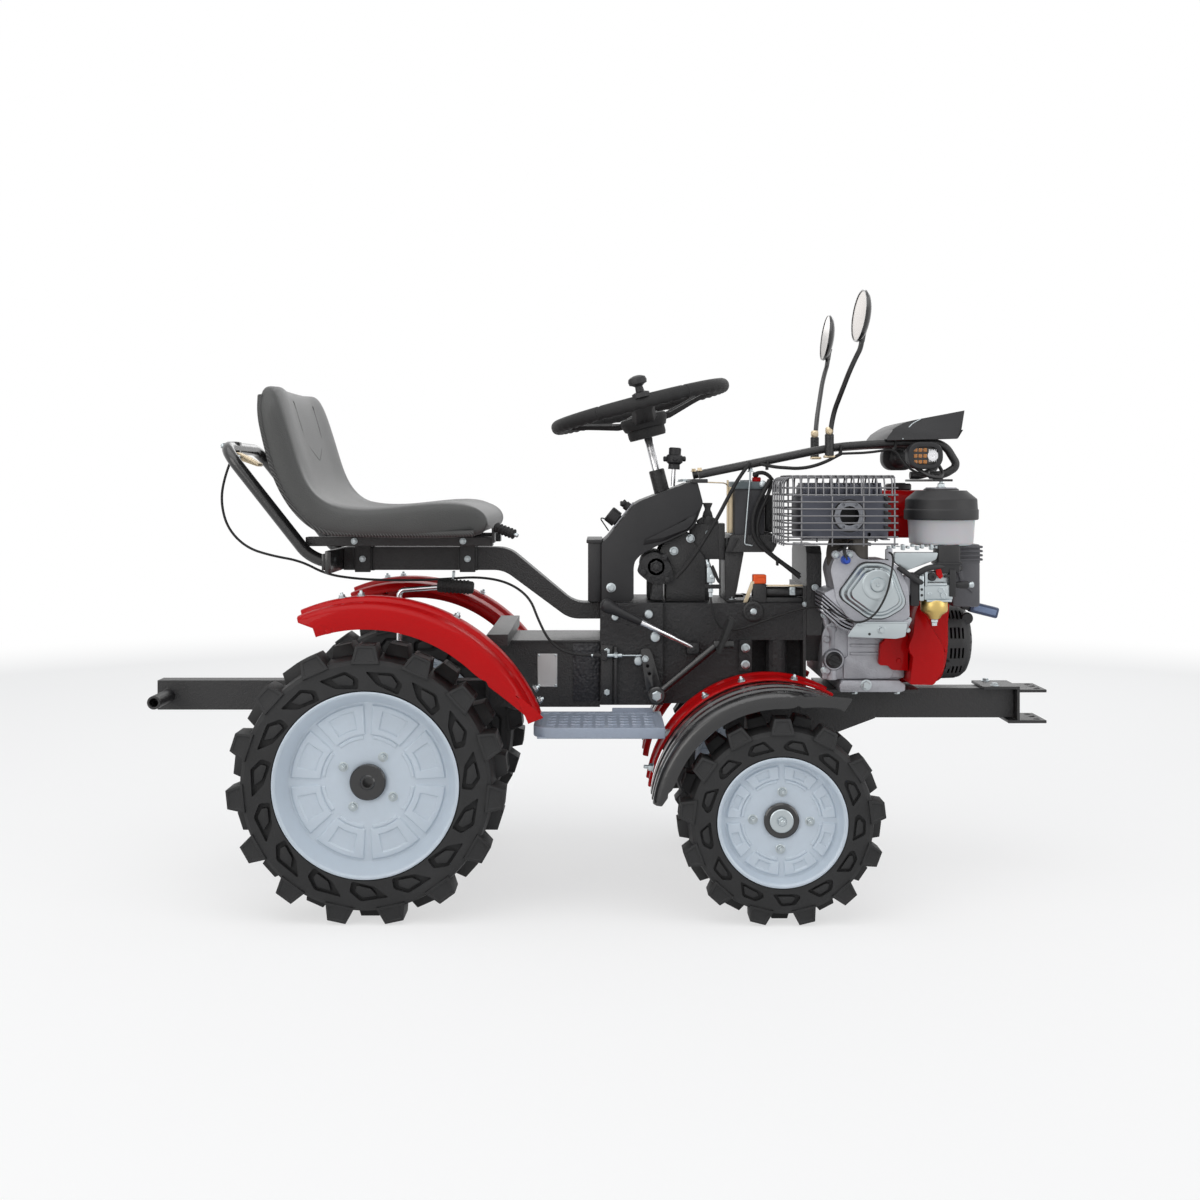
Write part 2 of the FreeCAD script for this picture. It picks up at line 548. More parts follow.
def arc_band(outer, inner, start, end, centre_x, centre_z):
    """Corners of a ring segment between two angles in degrees, drawn in short chords."""
    chords = round((end - start) / S.archStep)
    angles = [math.radians(start + (end - start) * number / chords) for number in range(chords + 1)]
    corners = [(centre_x + outer * math.cos(angle), centre_z + outer * math.sin(angle))
               for angle in angles]
    corners += [(centre_x + inner * math.cos(angle), centre_z + inner * math.sin(angle))
                for angle in reversed(angles)]
    return rounded(corners)


# ---------------------------------------------------------------- wheels

def tyre(name, radius, width, rim_radius, lug_height, lugs, foot, tip):
    """A lugged tyre about the Y axis: a carcass and two staggered rows of tapered lugs.

    The carcass has one flat for each lug of both rows.
    """
    half = width / 2
    carcass = radius - lug_height
    sides = 2 * int(getattr(S, lugs))
    body = doc.addObject("PartDesign::Body", name)
    outside = ring(carcass / math.cos(math.pi / sides), sides, 180 / sides)
    add_pad(body, name + "Carcass", "XZ", [outside, ring(rim_radius, S.roundSides)],
            f"{width} - 2 * sidewallInset")
    doc.recompute()
    for side, turned in ((-1, 0), (1, 360 / sides)):
        lug = body.newObject("PartDesign::AdditiveWedge", f"{name}Row{side + 2}")
        foot_span = sorted((-side * half, side * half * S.lugCross))
        tip_span = sorted((-side * (half - S.lugDraft), 0))
        for prop, value in (("Xmin", -foot / 2), ("Xmax", foot / 2), ("X2min", -tip / 2),
                            ("X2max", tip / 2), ("Zmin", foot_span[0]), ("Zmax", foot_span[1]),
                            ("Z2min", tip_span[0]), ("Z2max", tip_span[1]),
                            ("Ymin", carcass - S.lugOverlap), ("Ymax", radius)):
            setattr(lug, prop, value)
        lug.Placement = Placement(Vector(), Rotation(Y_AXIS, turned) * Rotation(X_AXIS, 90))
        repeat(body, f"{name}Pattern{side + 2}", [lug], "Y", lugs)
    return body


def rim(name, radius, lip, tyre_width, inset, hub):
    """A pressed wheel about the Y axis, its outer face toward -Y, with its hub or shaft."""
    width = tyre_width - 2 * S.sidewallInset + 2 * S.rimProud
    outer = -width / 2
    face = outer + inset
    back = face + S.rimThickness
    body = doc.addObject("PartDesign::Body", name)
    barrel = [ring(radius, S.roundSides), ring(lip, S.roundSides)]
    add_pad(body, name + "Barrel", "XZ", barrel, str(width))
    add_pad(body, name + "Disc", "XZ", [ring(lip + 1, S.roundSides)], "rimThickness",
            str((face + back) / 2))
    doc.recompute()
    half_turn = math.radians(S.panelSpread / 2)
    low, high = lip * S.panelInner, lip * S.panelOuter
    cos, sin = math.cos(half_turn), math.sin(half_turn)
    panel = [(-low * sin, low * cos), (low * sin, low * cos), (high * sin, high * cos),
             (-high * sin, high * cos)]
    raised = add_pad(body, name + "Panel", "XZ", [rounded(panel)], "2 * ribHeight", str(face))
    repeat(body, name + "Ribs", [raised], "Y", "ribCount")
    for number, (radius_word, start, end) in enumerate(hub(face, back)):
        feature = add_pad(body, f"{name}Hub{number}", "XZ", [ring(getattr(S, radius_word), S.drumSides)],
                          str(end - start), str((start + end) / 2))
        body.Tip = feature
    return body


def rear_hub(face, back):
    """The hub boss and the half shaft that runs on into the rear axle tube."""
    end = S.rearWheelY - S.axleTubeEnd + S.shaftEngagement
    return (("hubRadius", face - S.hubProud, back + S.hubProud), ("driveShaftRadius", back, end))


def front_hub(face, back):
    """The hub that turns on the knuckle's spindle."""
    return (("hubRadius", face - S.hubProud, back + S.hubLength),)


def wheels():
    layout = (("rear", "rearAxleX", "rearWheelY", S.rearTyreRadius, S.rearTyreWidth,
               S.rearRimRadius, S.rearRimLip, S.rearLugHeight, "rearLugCount", S.rearLugFoot,
               S.rearLugTip, S.rearDiscInset, rear_hub),
              ("front", "frontAxleX", "frontWheelY", S.frontTyreRadius, S.frontTyreWidth,
               S.frontRimRadius, S.frontRimLip, S.frontLugHeight, "frontLugCount",
               S.frontLugFoot, S.frontLugTip, S.frontDiscInset, front_hub))
    for end, x, y, radius, width, rim_radius, lip, height, lugs, foot, tip, inset, hub in layout:
        rubber = tyre(end.title() + "Tyre", radius, width, rim_radius, height, lugs, foot, tip)
        disc = rim(end.title() + "Rim", rim_radius, lip, width, inset, hub)
        for body in (rubber, disc):
            bind(body, "Placement.Base.x", x)
            bind(body, "Placement.Base.y", "-" + y)
            bind(body, "Placement.Base.z", end + "TyreRadius")
        if end == "front":
            spindle = rod("SpindleBore", "spindleRadius + runningGap", "frontTyreWidth",
                          (S.frontAxleX, -S.frontWheelY - S.frontTyreWidth / 2, radius), Y_AXIS)
            disc = cut("FrontRimBored", disc, [spindle])
        both_sides(f"{end}_tyre", rubber)
        both_sides(f"{end}_rim", disc)


# ---------------------------------------------------------------- rear frame

def drawbar():
    """The square tube at the back with the cross tube that an implement hooks on."""
    bottom = "drawbarTop - drawbarHeight"
    skin = block("DrawbarSkin", ("drawbarBack", "rearBoxBack"),
                 ("-drawbarHalfWidth", "drawbarHalfWidth"), (bottom, "drawbarTop"))
    inside = block("DrawbarInside", ("drawbarBack - 1", "rearBoxBack - drawbarWall"),
                   ("-drawbarHalfWidth + drawbarWall", "drawbarHalfWidth - drawbarWall"),
                   (bottom + " + drawbarWall", "drawbarTop - drawbarWall"))
    hollow = cut("DrawbarTube", skin, [inside])
    reach = S.crossTubeReach
    start = (S.crossTubeX, -reach, S.crossTubeZ)
    bar_tube = rod("CrossTube", "crossTubeRadius", "2 * crossTubeReach", start, Y_AXIS)
    bore = drum("CrossTubeBore", "crossTubeBore", "2 * crossTubeReach", start, Y_AXIS, "pinSides")
    node(cut("Drawbar", fuse("DrawbarWelded", [hollow, bar_tube]), [bore]), "drawbar")


def rear_axle():
    """The rear drive case under the drawbar with its two bearing tubes and the shift lever's lug."""
    z = S.rearTyreRadius
    top = S.drawbarTop - S.drawbarHeight
    half = S.axleBoxLength / 2
    x = S.rearAxleX
    shoulder = z - S.axleBoxShoulder
    foot = top - S.axleBoxDepth
    case = pad("AxleCase", "XZ",
               [rounded([(x - half, top), (x + half, top), (x + half, shoulder),
                         (x + half - S.axleBoxSlope, foot), (x - half + S.axleBoxSlope, foot),
                         (x - half, shoulder)])], "2 * axleBoxHalfWidth")
    end = S.axleTubeEnd
    across = drum("AxleTube", "axleTubeRadius", "2 * axleTubeEnd", (x, -end, z), Y_AXIS)
    pieces = [case, across]
    bores = []
    for side in (-1, 1):
        start = (x, side * end, z)
        inward = Vector(0, -side, 0)
        pieces.append(drum(f"AxleFlange{side + 1}", "axleFlangeRadius", "axleFlangeThickness",
                           start, inward))
        bores.append(rod(f"AxleBore{side + 1}", "driveShaftRadius + runningGap",
                         "shaftEngagement + axleBoreEnd", start, inward))
    pieces.append(block("LeverLug", ("shiftLeverX - lugBack", "shiftLeverX + lugFront"),
                        ("-shiftLeverY - lugHalfWidth", "-shiftLeverY + lugHalfWidth"),
                        ("rearTyreRadius", "shiftLeverFoot")))
    node(cut("RearAxle", fuse("RearAxleSolid", pieces), bores), "rear_axle")


def rear_box():
    """The gear case behind the centre frame, closed by a flat lid."""
    corner = S.rearBoxCorner
    back, front = S.rearBoxBack, S.centreBack
    half = S.rearBoxHalfWidth
    plan = [(back, -half, corner), (front, -half), (front, half), (back, half, corner)]
    middle = "(rearBoxBottom + rearBoxTop) / 2"
    body = pad("RearBox", "XY", [rounded(plan)], "rearBoxTop - rearBoxBottom", middle)
    lid = block("RearLid", ("rearBoxBack - lidOverhang", "centreBack"),
                ("-rearBoxHalfWidth - lidOverhang", "rearBoxHalfWidth + lidOverhang"),
                ("rearBoxTop", "rearBoxTop + lidThickness"))
    node(fuse("RearBoxClosed", [body, lid]), "rear_box")


def centre_frame():
    """The frame block between the two bolted side plates, with the brake cable's stop."""
    core = block("FrameCore", ("centreBack", "centreFront"),
                 ("-centreHalfWidth", "centreHalfWidth"), ("centreBottom", "centreTop"))
    plate = block("SidePlate", ("centreBack", "centreFront"),
                  ("-centreHalfWidth - sidePlateThickness", "-centreHalfWidth"),
                  ("centreBottom", "centreTop"))
    face = "-centreHalfWidth - sidePlateThickness"
    stop = block("CableStop", ("stopBack", "stopBack + stopThickness"), (face + " - stopReach", face),
                 ("stopZ - stopHalf", "stopZ + stopHalf"))
    sleeve = drum("CableSleeve", "sleeveRadius", "sleeveLength",
                  (S.stopBack - S.sleeveLength, S.sleeveY, S.stopZ), X_AXIS, "tubeSides")
    node(fuse("CentreFrame", [core, plate, mirror("SidePlateFar", plate), stop, sleeve]),
         "centre_frame")


def gearbox_casting():
    """The cast gearbox with an open bay at its lower front and round columns in it."""
    body = block("CastingBlock", ("centreFront", "castingFront"),
                 ("-castingHalfWidth", "castingHalfWidth"), ("castingBottom", "castingTop"))
    windows = []
    columns = []
    half = S.castingHalfWidth
    seat = S.castingColumnSeat
    for side in (-1, 1):
        windows.append(block(f"CastingWindow{side + 1}", ("castingWindowBack", "castingFront + 1"),
                             span(side * (half - S.castingWindowDepth), side * (half + 1)),
                             ("castingWindowBottom", "castingWindowTop")))
        x = (S.castingWindowBack + S.castingFront) / 2
        y = side * (half - S.castingWindowDepth / 2)
        columns.append(drum(f"CastingColumn{side + 1}", "castingColumnRadius",
                            "castingWindowTop - castingWindowBottom + 2 * castingColumnSeat",
                            (x, y, S.castingWindowBottom - seat), Z_AXIS))
        columns.append(drum(f"CastingBoss{side + 1}", "bossRadius", "bossLength + bossSeat",
                            (S.bossX, side * (half - S.bossSeat), S.castingTop - S.bossDrop),
                            Vector(0, side, 0), "pinSides"))
        columns.append(block(f"CastingStrap{side + 1}",
                             ("castingWindowBack - strapWidth", "castingWindowBack"),
                             span(side * half, side * (half + S.strapThickness)),
                             ("strapFoot", "castingWindowTop")))
    node(fuse("Casting", [cut("CastingOpened", body, windows)] + columns), "gearbox_casting")


def clutch_housing():
    """The thin plate on the casting's front and the clutch housing between it and the engine."""
    plate = block("EnginePlate", ("castingFront", "castingFront + enginePlateThickness"),
                  ("-castingHalfWidth", "castingHalfWidth"), ("castingBottom", "enginePlateTop"))
    radius = S.housingRadius
    top = S.housingTop
    bottom = S.housingCentreZ - radius
    outline = [(-radius, top, S.housingShoulder), (radius, top, S.housingShoulder),
               (radius, bottom, S.housingBelly), (-radius, bottom, S.housingBelly)]
    back = "castingFront + enginePlateThickness"
    housing = pad("HousingShell", "YZ", [chamfered(outline)], f"engineBack - ({back})",
                  f"(engineBack + {back}) / 2")
    node(fuse("ClutchHousing", [plate, housing]), "clutch_housing")


# ---------------------------------------------------------------- front frame

def front_beam():
    """The square tube under the engine, its rear carrier plates and the engine's mounting plate."""
    bottom = "beamTop - beamHeight"
    skin = block("BeamSkin", ("beamBack", "beamFront - hitchWeb"),
                 ("-beamHalfWidth", "beamHalfWidth"), (bottom, "beamTop"))
    inside = block("BeamInside", ("beamBack + beamWall", "beamFront - hitchWeb + 1"),
                   ("-beamHalfWidth + beamWall", "beamHalfWidth - beamWall"),
                   (bottom + " + beamWall", "beamTop - beamWall"))
    tube_beam = cut("BeamTube", skin, [inside])
    top = S.beamTop
    low = top - S.beamHeight
    outline = [(S.carrierBack, S.castingBottom), (S.castingFront + S.enginePlateThickness,
                                                  S.castingBottom),
               (S.mountPlateBack, S.castingBottom), (S.mountPlateBack, top),
               (S.beamBack + S.carrierLap, top), (S.beamBack + S.carrierLap, low),
               (S.carrierNose, S.carrierBottom),
               (S.carrierBack, S.carrierBottom)]
    plate_y = "beamHalfWidth + carrierThickness / 2"
    near = bar("CarrierPlate", "XZ", outline, "carrierThickness", "-(" + plate_y + ")")
    far = mirror("CarrierPlateFar", near)
    rest = block("MountPlate", ("mountPlateBack", "mountPlateFront"),
                 ("-mountPlateHalfWidth", "mountPlateHalfWidth"),
                 ("beamTop", "beamTop + mountPlateThickness"))
    node(fuse("FrontBeam", [tube_beam, near, far, rest]), "front_beam")


def front_hitch():
    """The channel across the beam's nose with drilled plates for a front implement."""
    thick = "hitchPlateThickness"
    low = "hitchLowerZ"
    across = ("-hitchHalfWidth", "hitchHalfWidth")
    web = block("HitchWeb", ("beamFront - hitchWeb", "beamFront"), across, (low, "beamTop"))
    plates = []
    for name, x, z in (
            ("HitchTop", ("beamFront", "hitchFront"), ("beamTop - " + thick, "beamTop")),
            ("HitchLow", ("beamFront - hitchFlange", "hitchFront"), (low, f"{low} + {thick}")),
            ("HitchRear", ("beamFront - hitchFlange - hitchRearPlateLength", "beamFront"),
             ("beamTop", "beamTop + " + thick))):
        plates.append(block(name, x, across, z))
    holes = []
    x = S.hitchFront - S.hitchHoleInset
    for number in (-1, 0, 1):
        holes.append(rod(f"HitchHole{number + 1}", "hitchHoleRadius", "beamTop - hitchLowerZ + 2",
                         (x, number * S.hitchHoleSpacing, S.hitchLowerZ - 1), Z_AXIS))
    node(cut("Hitch", fuse("HitchWelded", [web] + plates), holes), "front_hitch")


def front_axle():
    """The cross beam hung under the casting, with a fork and a kingpin at each end."""
    x = "frontAxleX"
    beam_z = "frontTyreRadius + frontAxleRise"
    wall = "kingpinY - knuckleRadius - forkGap"
    low = "frontTyreRadius + knuckleRise - knuckleHeight / 2 - yokeGap"
    high = "frontTyreRadius + knuckleRise + knuckleHeight / 2 + yokeGap"
    deep = (f"{x} - axleBeamDepth / 2", f"{x} + axleBeamDepth / 2")
    pieces = [block("AxleBeam", deep, (f"-({wall})", wall),
                    (f"{beam_z} - axleBeamHeight / 2", f"{beam_z} + axleBeamHeight / 2")),
              block("AxleHanger", (f"{x} - axleBeamDepth", f"{x} + axleBeamDepth"),
                    ("-beamHalfWidth", "beamHalfWidth"),
                    (f"{beam_z} + axleBeamHeight / 2", "castingBottom"))]
    for side in (-1, 1):
        inner, outer = f"{wall} - yokeThickness", "kingpinY + knuckleRadius"
        fork = (inner, outer) if side > 0 else (f"-({outer})", f"-({inner})")
        upright = (inner, wall) if side > 0 else (f"-({wall})", f"-({inner})")
        pieces.append(block(f"ForkTop{side + 1}", deep, fork, (high, f"{high} + yokeThickness")))
        pieces.append(block(f"ForkLow{side + 1}", deep, fork, (f"{low} - yokeThickness", low)))
        pieces.append(block(f"ForkWall{side + 1}", (f"{x} - yokeThickness", f"{x} + yokeThickness"),
                            upright, (low, high)))
        bottom = S.frontTyreRadius + S.knuckleRise - S.knuckleHeight / 2 - S.yokeGap
        pieces.append(rod(f"Kingpin{side + 1}", "kingpinRadius",
                          "knuckleHeight + 2 * yokeGap + 2 * kingpinSeat",
                          (S.frontAxleX, side * S.kingpinY, bottom - S.kingpinSeat), Z_AXIS))
    node(fuse("FrontAxle", pieces), "front_axle")


# ---------------------------------------------------------------- steering

def knuckles():
    """The steered stub axles: barrel, spindle and an arm back to the tie rod."""
    x, y = S.frontAxleX, -S.kingpinY
    spindle_z = S.frontTyreRadius
    bottom = spindle_z + S.knuckleRise - S.knuckleHeight / 2
    arm_low = bottom + S.steerArmRise
    barrel = drum("KnuckleBarrel", "knuckleRadius", "knuckleHeight", (x, y, bottom), Z_AXIS,
                  "pinSides")
    end = S.frontWheelY + S.spindleReach
    spindle = drum("Spindle", "spindleRadius", end - S.kingpinY, (x, y, spindle_z), -Y_AXIS,
                   "pinSides")
    shoulder = drum("SpindleShoulder", "knuckleRadius", "spindleShoulder",
                    (x, y - S.shoulderInset, spindle_z), -Y_AXIS, "pinSides")
    arm = block("SteerArm", ("frontAxleX - steerArmLength - steerArmHalfWidth", "frontAxleX"),
                (f"{y} - steerArmHalfWidth", f"{y} + steerArmHalfWidth"),
                (f"{arm_low}", f"{arm_low} + steerArmThickness"))
    pin = drum("BallPin", "ballPinRadius", "tieRodRise + tieEyeHeight",
               (x - S.steerArmLength, y, arm_low), Z_AXIS, "pinSides")
    bore = rod("KingpinBore", "kingpinRadius + pinGap", "knuckleHeight + 2 * kingpinSeat",
               (x, y, bottom - S.kingpinSeat), Z_AXIS)
    solid = fuse("KnuckleSolid", [barrel, spindle, shoulder, arm, pin])
    both_sides("knuckle", cut("Knuckle", solid, [bore]))


def tie_rod():
    """The rod that joins both steering arms behind the axle, with an eye over each ball pin."""
    x = S.frontAxleX - S.steerArmLength
    arm_low = S.frontTyreRadius + S.knuckleRise - S.knuckleHeight / 2 + S.steerArmRise
    eye_z = arm_low + S.steerArmThickness + S.eyeGap
    eyes = []
    bores = []
    for side in (-1, 1):
        y = side * S.kingpinY
        eyes.append(drum(f"TieEye{side + 1}", "tieEyeRadius", "tieEyeHeight", (x, y, eye_z),
                         Z_AXIS, "pinSides"))
        bores.append(rod(f"TieBore{side + 1}", "ballPinRadius + pinGap",
                         "tieEyeHeight + 2 * tieRodSeat", (x, y, eye_z - S.tieRodSeat), Z_AXIS))
    middle = eye_z + S.tieEyeHeight / 2
    inner = S.kingpinY - S.tieEyeRadius + S.tieRodSeat
    shaft = drum("TieShaft", "tieRodRadius", 2 * inner, (x, -inner, middle), Y_AXIS, "tubeSides")
    node(cut("TieRod", fuse("TieRodSolid", eyes + [shaft]), bores), "tie_rod")


def column_point(along, across=0):
    """A point on the steering axis, measured up from the middle of the wheel."""
    tilt = math.radians(S.steerTilt)
    return (S.steerCentreX - along * math.sin(tilt) + across * math.cos(tilt), 0,
            S.steerCentreZ + along * math.cos(tilt) + across * math.sin(tilt))


def column_axis():
    tilt = math.radians(S.steerTilt)
    return Vector(-math.sin(tilt), 0, math.cos(tilt))


def steering_wheel():
    """The moulded wheel on its shaft, with three spokes, a deep hub and a spinner knob."""
    axis = column_axis()
    place = Placement(Vector(*column_point(0)), Rotation(Z_AXIS, axis))
    spine = doc.addObject("Part::RegularPolygon", "GripCircle")
    bind(spine, "Polygon", "gripSides")
    bind(spine, "Circumradius", "steerWheelRadius")
    spine.Placement = place
    section = doc.addObject("Part::RegularPolygon", "GripSection")
    bind(section, "Polygon", "gripCorners")
    bind(section, "Circumradius", "steerGripRadius")
    section.Placement = place * Placement(Vector(S.steerWheelRadius, 0, 0), Rotation(X_AXIS, 90))
    grip = doc.addObject("Part::Sweep", "SteeringGrip")
    grip.Sections = [section]
    grip.Spine = (spine, [f"Edge{number + 1}" for number in range(int(S.gripSides))])
    grip.Solid = True
    grip.Transition = "Right corner"
    hub = drum("SteeringHub", "steerHubRadius", "steerHubDepth",
               column_point(-S.steerHubDrop - S.steerHubDepth), axis)
    pieces = [grip, hub]
    for number in range(3):
        thick = S.spokeThickness / 2
        low = -S.steerHubDrop - S.spokeSeat
        outline = [(0, low), (S.steerHubRadius, low), (S.steerWheelRadius, -thick),
                   (S.steerWheelRadius, thick), (S.spokeShoulder, -S.hubTopDrop),
                   (0, -S.hubTopDrop)]
        spoke = bar(f"Spoke{number}", "XZ", outline, "spokeWidth")
        spoke.Placement = place * Placement(Vector(), Rotation(Z_AXIS, S.spokeTurn
                                                               + S.spokeSpread * number))
        pieces.append(spoke)
    knob_at = place.multVec(Vector(0, -S.steerWheelRadius, 0))
    stem = drum("KnobStem", "knobStemRadius", "knobStemLength", tuple(knob_at), axis, "tubeSides")
    knob = drum("Knob", "knobRadius", "knobDepth", tuple(knob_at + axis * S.knobRise), axis)
    pieces += [stem, knob]
    node(fuse("SteeringWheel", pieces), "steering_wheel")
    shaft = rod("SteeringShaft", "shaftRadius", "columnLength - steerHubDrop - steerHubDepth",
                column_point(-S.columnLength), axis)
    node(shaft, "steering_shaft")


def steering_column():
    """The fixed bracket, the column sleeve at the console's top and the steering box."""
    axis = column_axis()
    x = S.steerBoxX
    plate = bar("ColumnPlate", "XZ", from_corner("columnPlate", x, S.centreTop),
                "steerBracketThickness", "-(steerBracketY - steerBracketThickness / 2)")
    other = mirror("ColumnPlateFar", plate)
    box = drum("SteeringBox", "steerBoxRadius", "2 * steerBracketY + 2 * steerBoxProud",
               (x, -S.steerBracketY - S.steerBoxProud, S.steerBoxZ), Y_AXIS)
    inner = "steerBracketY - steerBracketThickness"
    base = block("ColumnBase", (f"{x} + steerBaseBack", f"{x} + steerBaseFront"),
                 (f"-({inner})", inner), ("centreTop", "centreTop + steerBaseHeight"))
    sleeve = drum("ColumnSleeve", "collarRadius", "columnLength - collarDrop",
                  column_point(-S.columnLength), axis, "pinSides")
    bore = rod("SleeveBore", "shaftRadius + runningGap", "columnLength",
               column_point(-S.columnLength - S.runningGap), axis)
    solid = fuse("ColumnSolid", [plate, other, box, base, sleeve])
    node(cut("SteeringColumn", solid, [bore]), "steering_column")


# ---------------------------------------------------------------- console

def console():
    """The folded dash shell over the column, and the upright box behind it."""
    corner = (S.consoleMouth, S.centreTop)
    shell = bar("ConsoleShell", "XZ", from_corner("console", *corner), "2 * consoleHalfWidth")
    hollow = bar("ConsoleHollow", "XZ", from_corner("consoleInside", *corner),
                 "2 * consoleHalfWidth - 2 * consoleWall")
    hole = drum("ConsoleHole", "collarRadius + collarClearance", "collarHoleLength",
                column_point(-S.collarDrop - S.collarHoleLength), column_axis(), "pinSides")
    box = block("ConsoleBox", ("boxBack", "boxFront"), ("-boxHalfWidth", "boxHalfWidth"),
                ("centreTop", "boxTop"))
    node(fuse("Console", [cut("ConsoleOpened", shell, [hollow, hole]), box]), "console")


# ---------------------------------------------------------------- seat and its support

def seat_beam():
    """The square tube that rises from the centre frame and runs back under the seat."""
    top, low = S.seatBeamTop, S.seatBeamTop - S.seatBeamHeight
    foot_top, foot_low = S.seatBeamFoot, S.seatBeamFoot - S.seatBeamFootHeight
    bend = S.seatBeamBendRadius
    outline = [(S.seatBeamBack, low), (S.seatBeamBend, low, bend),
               (S.seatBeamKnee, foot_low, bend), (S.centreBack, foot_low),
               (S.centreBack, foot_top), (S.seatBeamKnee + S.seatBeamSlope, foot_top, bend),
               (S.seatBeamBend + S.seatBeamSlope, top, bend), (S.seatBeamBack, top)]
    node(bar("SeatBeam", "XZ", outline, "2 * seatBeamHalfWidth"), "seat_beam")


def seat_frame():
    """Rails under the seat, two cross straps and the bracket plates that straddle the beam."""
    rails = []
    side_y = S.seatBeamHalfWidth
    for side in (-1, 1):
        y = side * S.seatRailY
        rails.append(block(f"SeatRail{side + 1}", ("seatFrameBack", "seatFrameFront"),
                           (f"{y} - seatRailWidth / 2", f"{y} + seatRailWidth / 2"),
                           ("seatFrameBottom", "seatFrameTop")))
    for number, x in enumerate((S.seatBracketRear, S.seatBracketFront)):
        deep = (f"{x} - seatCrossWidth / 2", f"{x} + seatCrossWidth / 2")
        rails.append(block(f"SeatCross{number}", deep, ("-seatRailY", "seatRailY"),
                           ("seatFrameBottom", "seatFrameTop - seatCrossDrop")))
        rails.append(block(f"SeatPad{number}", deep,
                           ("-seatBeamHalfWidth - seatBracketThickness",
                            "seatBeamHalfWidth + seatBracketThickness"),
                           ("seatBeamTop", "seatFrameBottom + seatLap")))
        for side in (-1, 1):
            rails.append(block(f"SeatBracket{number}{side + 1}", deep,
                               span(side * side_y, side * (side_y + S.seatBracketThickness)),
                               ("seatBeamTop - seatBeamHeight - seatBracketDrop",
                                "seatBeamTop + seatLap")))
    node(fuse("SeatFrame", rails), "seat_frame")


def seat():
    """The padded seat: a cushion and a backrest in one shell."""
    outline = from_corner("seat", S.seatFront, S.seatFrameTop + S.seatGap)
    node(bar("Seat", "XZ", outline, "2 * seatHalfWidth"), "seat")


def rear_handle():
    """The bent hoop behind the seat, its plate at the beam's end and the brake cable's gland."""
    back = S.seatBeamBack
    half = S.handleY
    z = S.seatBeamTop - S.seatBeamHeight / 2
    x = back - S.handlePlate
    foot, top = x - S.handleFootReach, S.handleTopX
    points = [(x + S.handleSeat, -half, z), (foot, -half, z + S.handleFootRise),
              (top, -half, S.handleTopZ), (top, half, S.handleTopZ),
              (foot, half, z + S.handleFootRise), (x + S.handleSeat, half, z)]
    hoop = tube("Hoop", "handleRadius", points,
                [S.handleFootBend, S.handleTopBend, S.handleTopBend, S.handleFootBend])
    plate = block("HandlePlate", ("seatBeamBack - handlePlate", "seatBeamBack"),
                  ("-handleY - handlePlateEdge", "handleY + handlePlateEdge"),
                  ("seatBeamTop - seatBeamHeight", "seatBeamTop"))
    grip = Vector(top, S.glandY, S.handleTopZ)
    gland = drum("BrakeGland", "glandRadius", "glandLength", tuple(grip), brake_direction(),
                 "tubeSides")
    node(fuse("RearHandle", [plate, hoop, gland]), "rear_handle")


def brake_direction():
    """The way that the brake cable leaves the hoop: down and a little to the rear."""
    return Vector(-S.glandBack, 0, -S.glandDown).normalize()


def brake_cable():
    """The cable from the hoop, under the seat beam, to its stop on the side plate."""
    start = Vector(S.handleTopX, S.glandY, S.handleTopZ) + brake_direction() * S.glandLength
    second = start + brake_direction() * S.glandRun
    end = (S.stopBack - S.sleeveLength, S.sleeveY, S.stopZ)
    before_end = (S.stopBack - S.sleeveApproach, S.sleeveY, S.stopZ)
    cord("brake_cable", S.brakeCord,
         [tuple(start), tuple(second), *ROUTES["brake"], before_end, end])


# ---------------------------------------------------------------- fenders and steps

def rear_fender():
    """The arched rear mudguard: a crown with a stepped ridge, a deep outer skirt and an inner lip."""
    x, z = S.rearAxleX, S.rearTyreRadius
    radius, wall = S.fenderRadius, S.fenderWall
    start, end = S.fenderFrontAngle, S.fenderRearAngle
    crown = arc_band(radius, radius - wall, start, end, x, z)
    body = pad("RearFender", "XZ", [crown], "fenderOuterY - fenderInnerY",
               "-(fenderOuterY + fenderInnerY) / 2")
    ridge = arc_band(radius + S.fenderRidgeHeight, radius - wall, start + S.ridgeStart, end, x, z)
    add_pad(body, "FenderRidge", "XZ", [ridge], "fenderRidgeWidth",
            "-(fenderOuterY + fenderInnerY) / 2 + fenderRidgeShift")
    skirt = arc_band(radius - wall / 2, radius - S.fenderSkirtTop, start, end, x, z)
    add_pad(body, "FenderSkirt", "XZ", [skirt], "fenderWall", "-(fenderOuterY - fenderWall / 2)")
    lip = arc_band(radius - wall / 2, radius - S.fenderSkirtFront, start, end, x, z)
    add_pad(body, "FenderLip", "XZ", [lip], "fenderWall", "-(fenderInnerY + fenderWall / 2)")
    both_sides("rear_fender", body)


def fender_carrier():
    """The cross bar on the rear box that carries both rear mudguards."""
    node(block("FenderCarrier", ("carrierBarBack", "carrierBarBack + carrierBarDepth"),
               ("-fenderInnerY", "fenderInnerY"),
               ("rearBoxTop + lidThickness", "rearBoxTop + lidThickness + carrierBarHeight")),
         "fender_carrier")


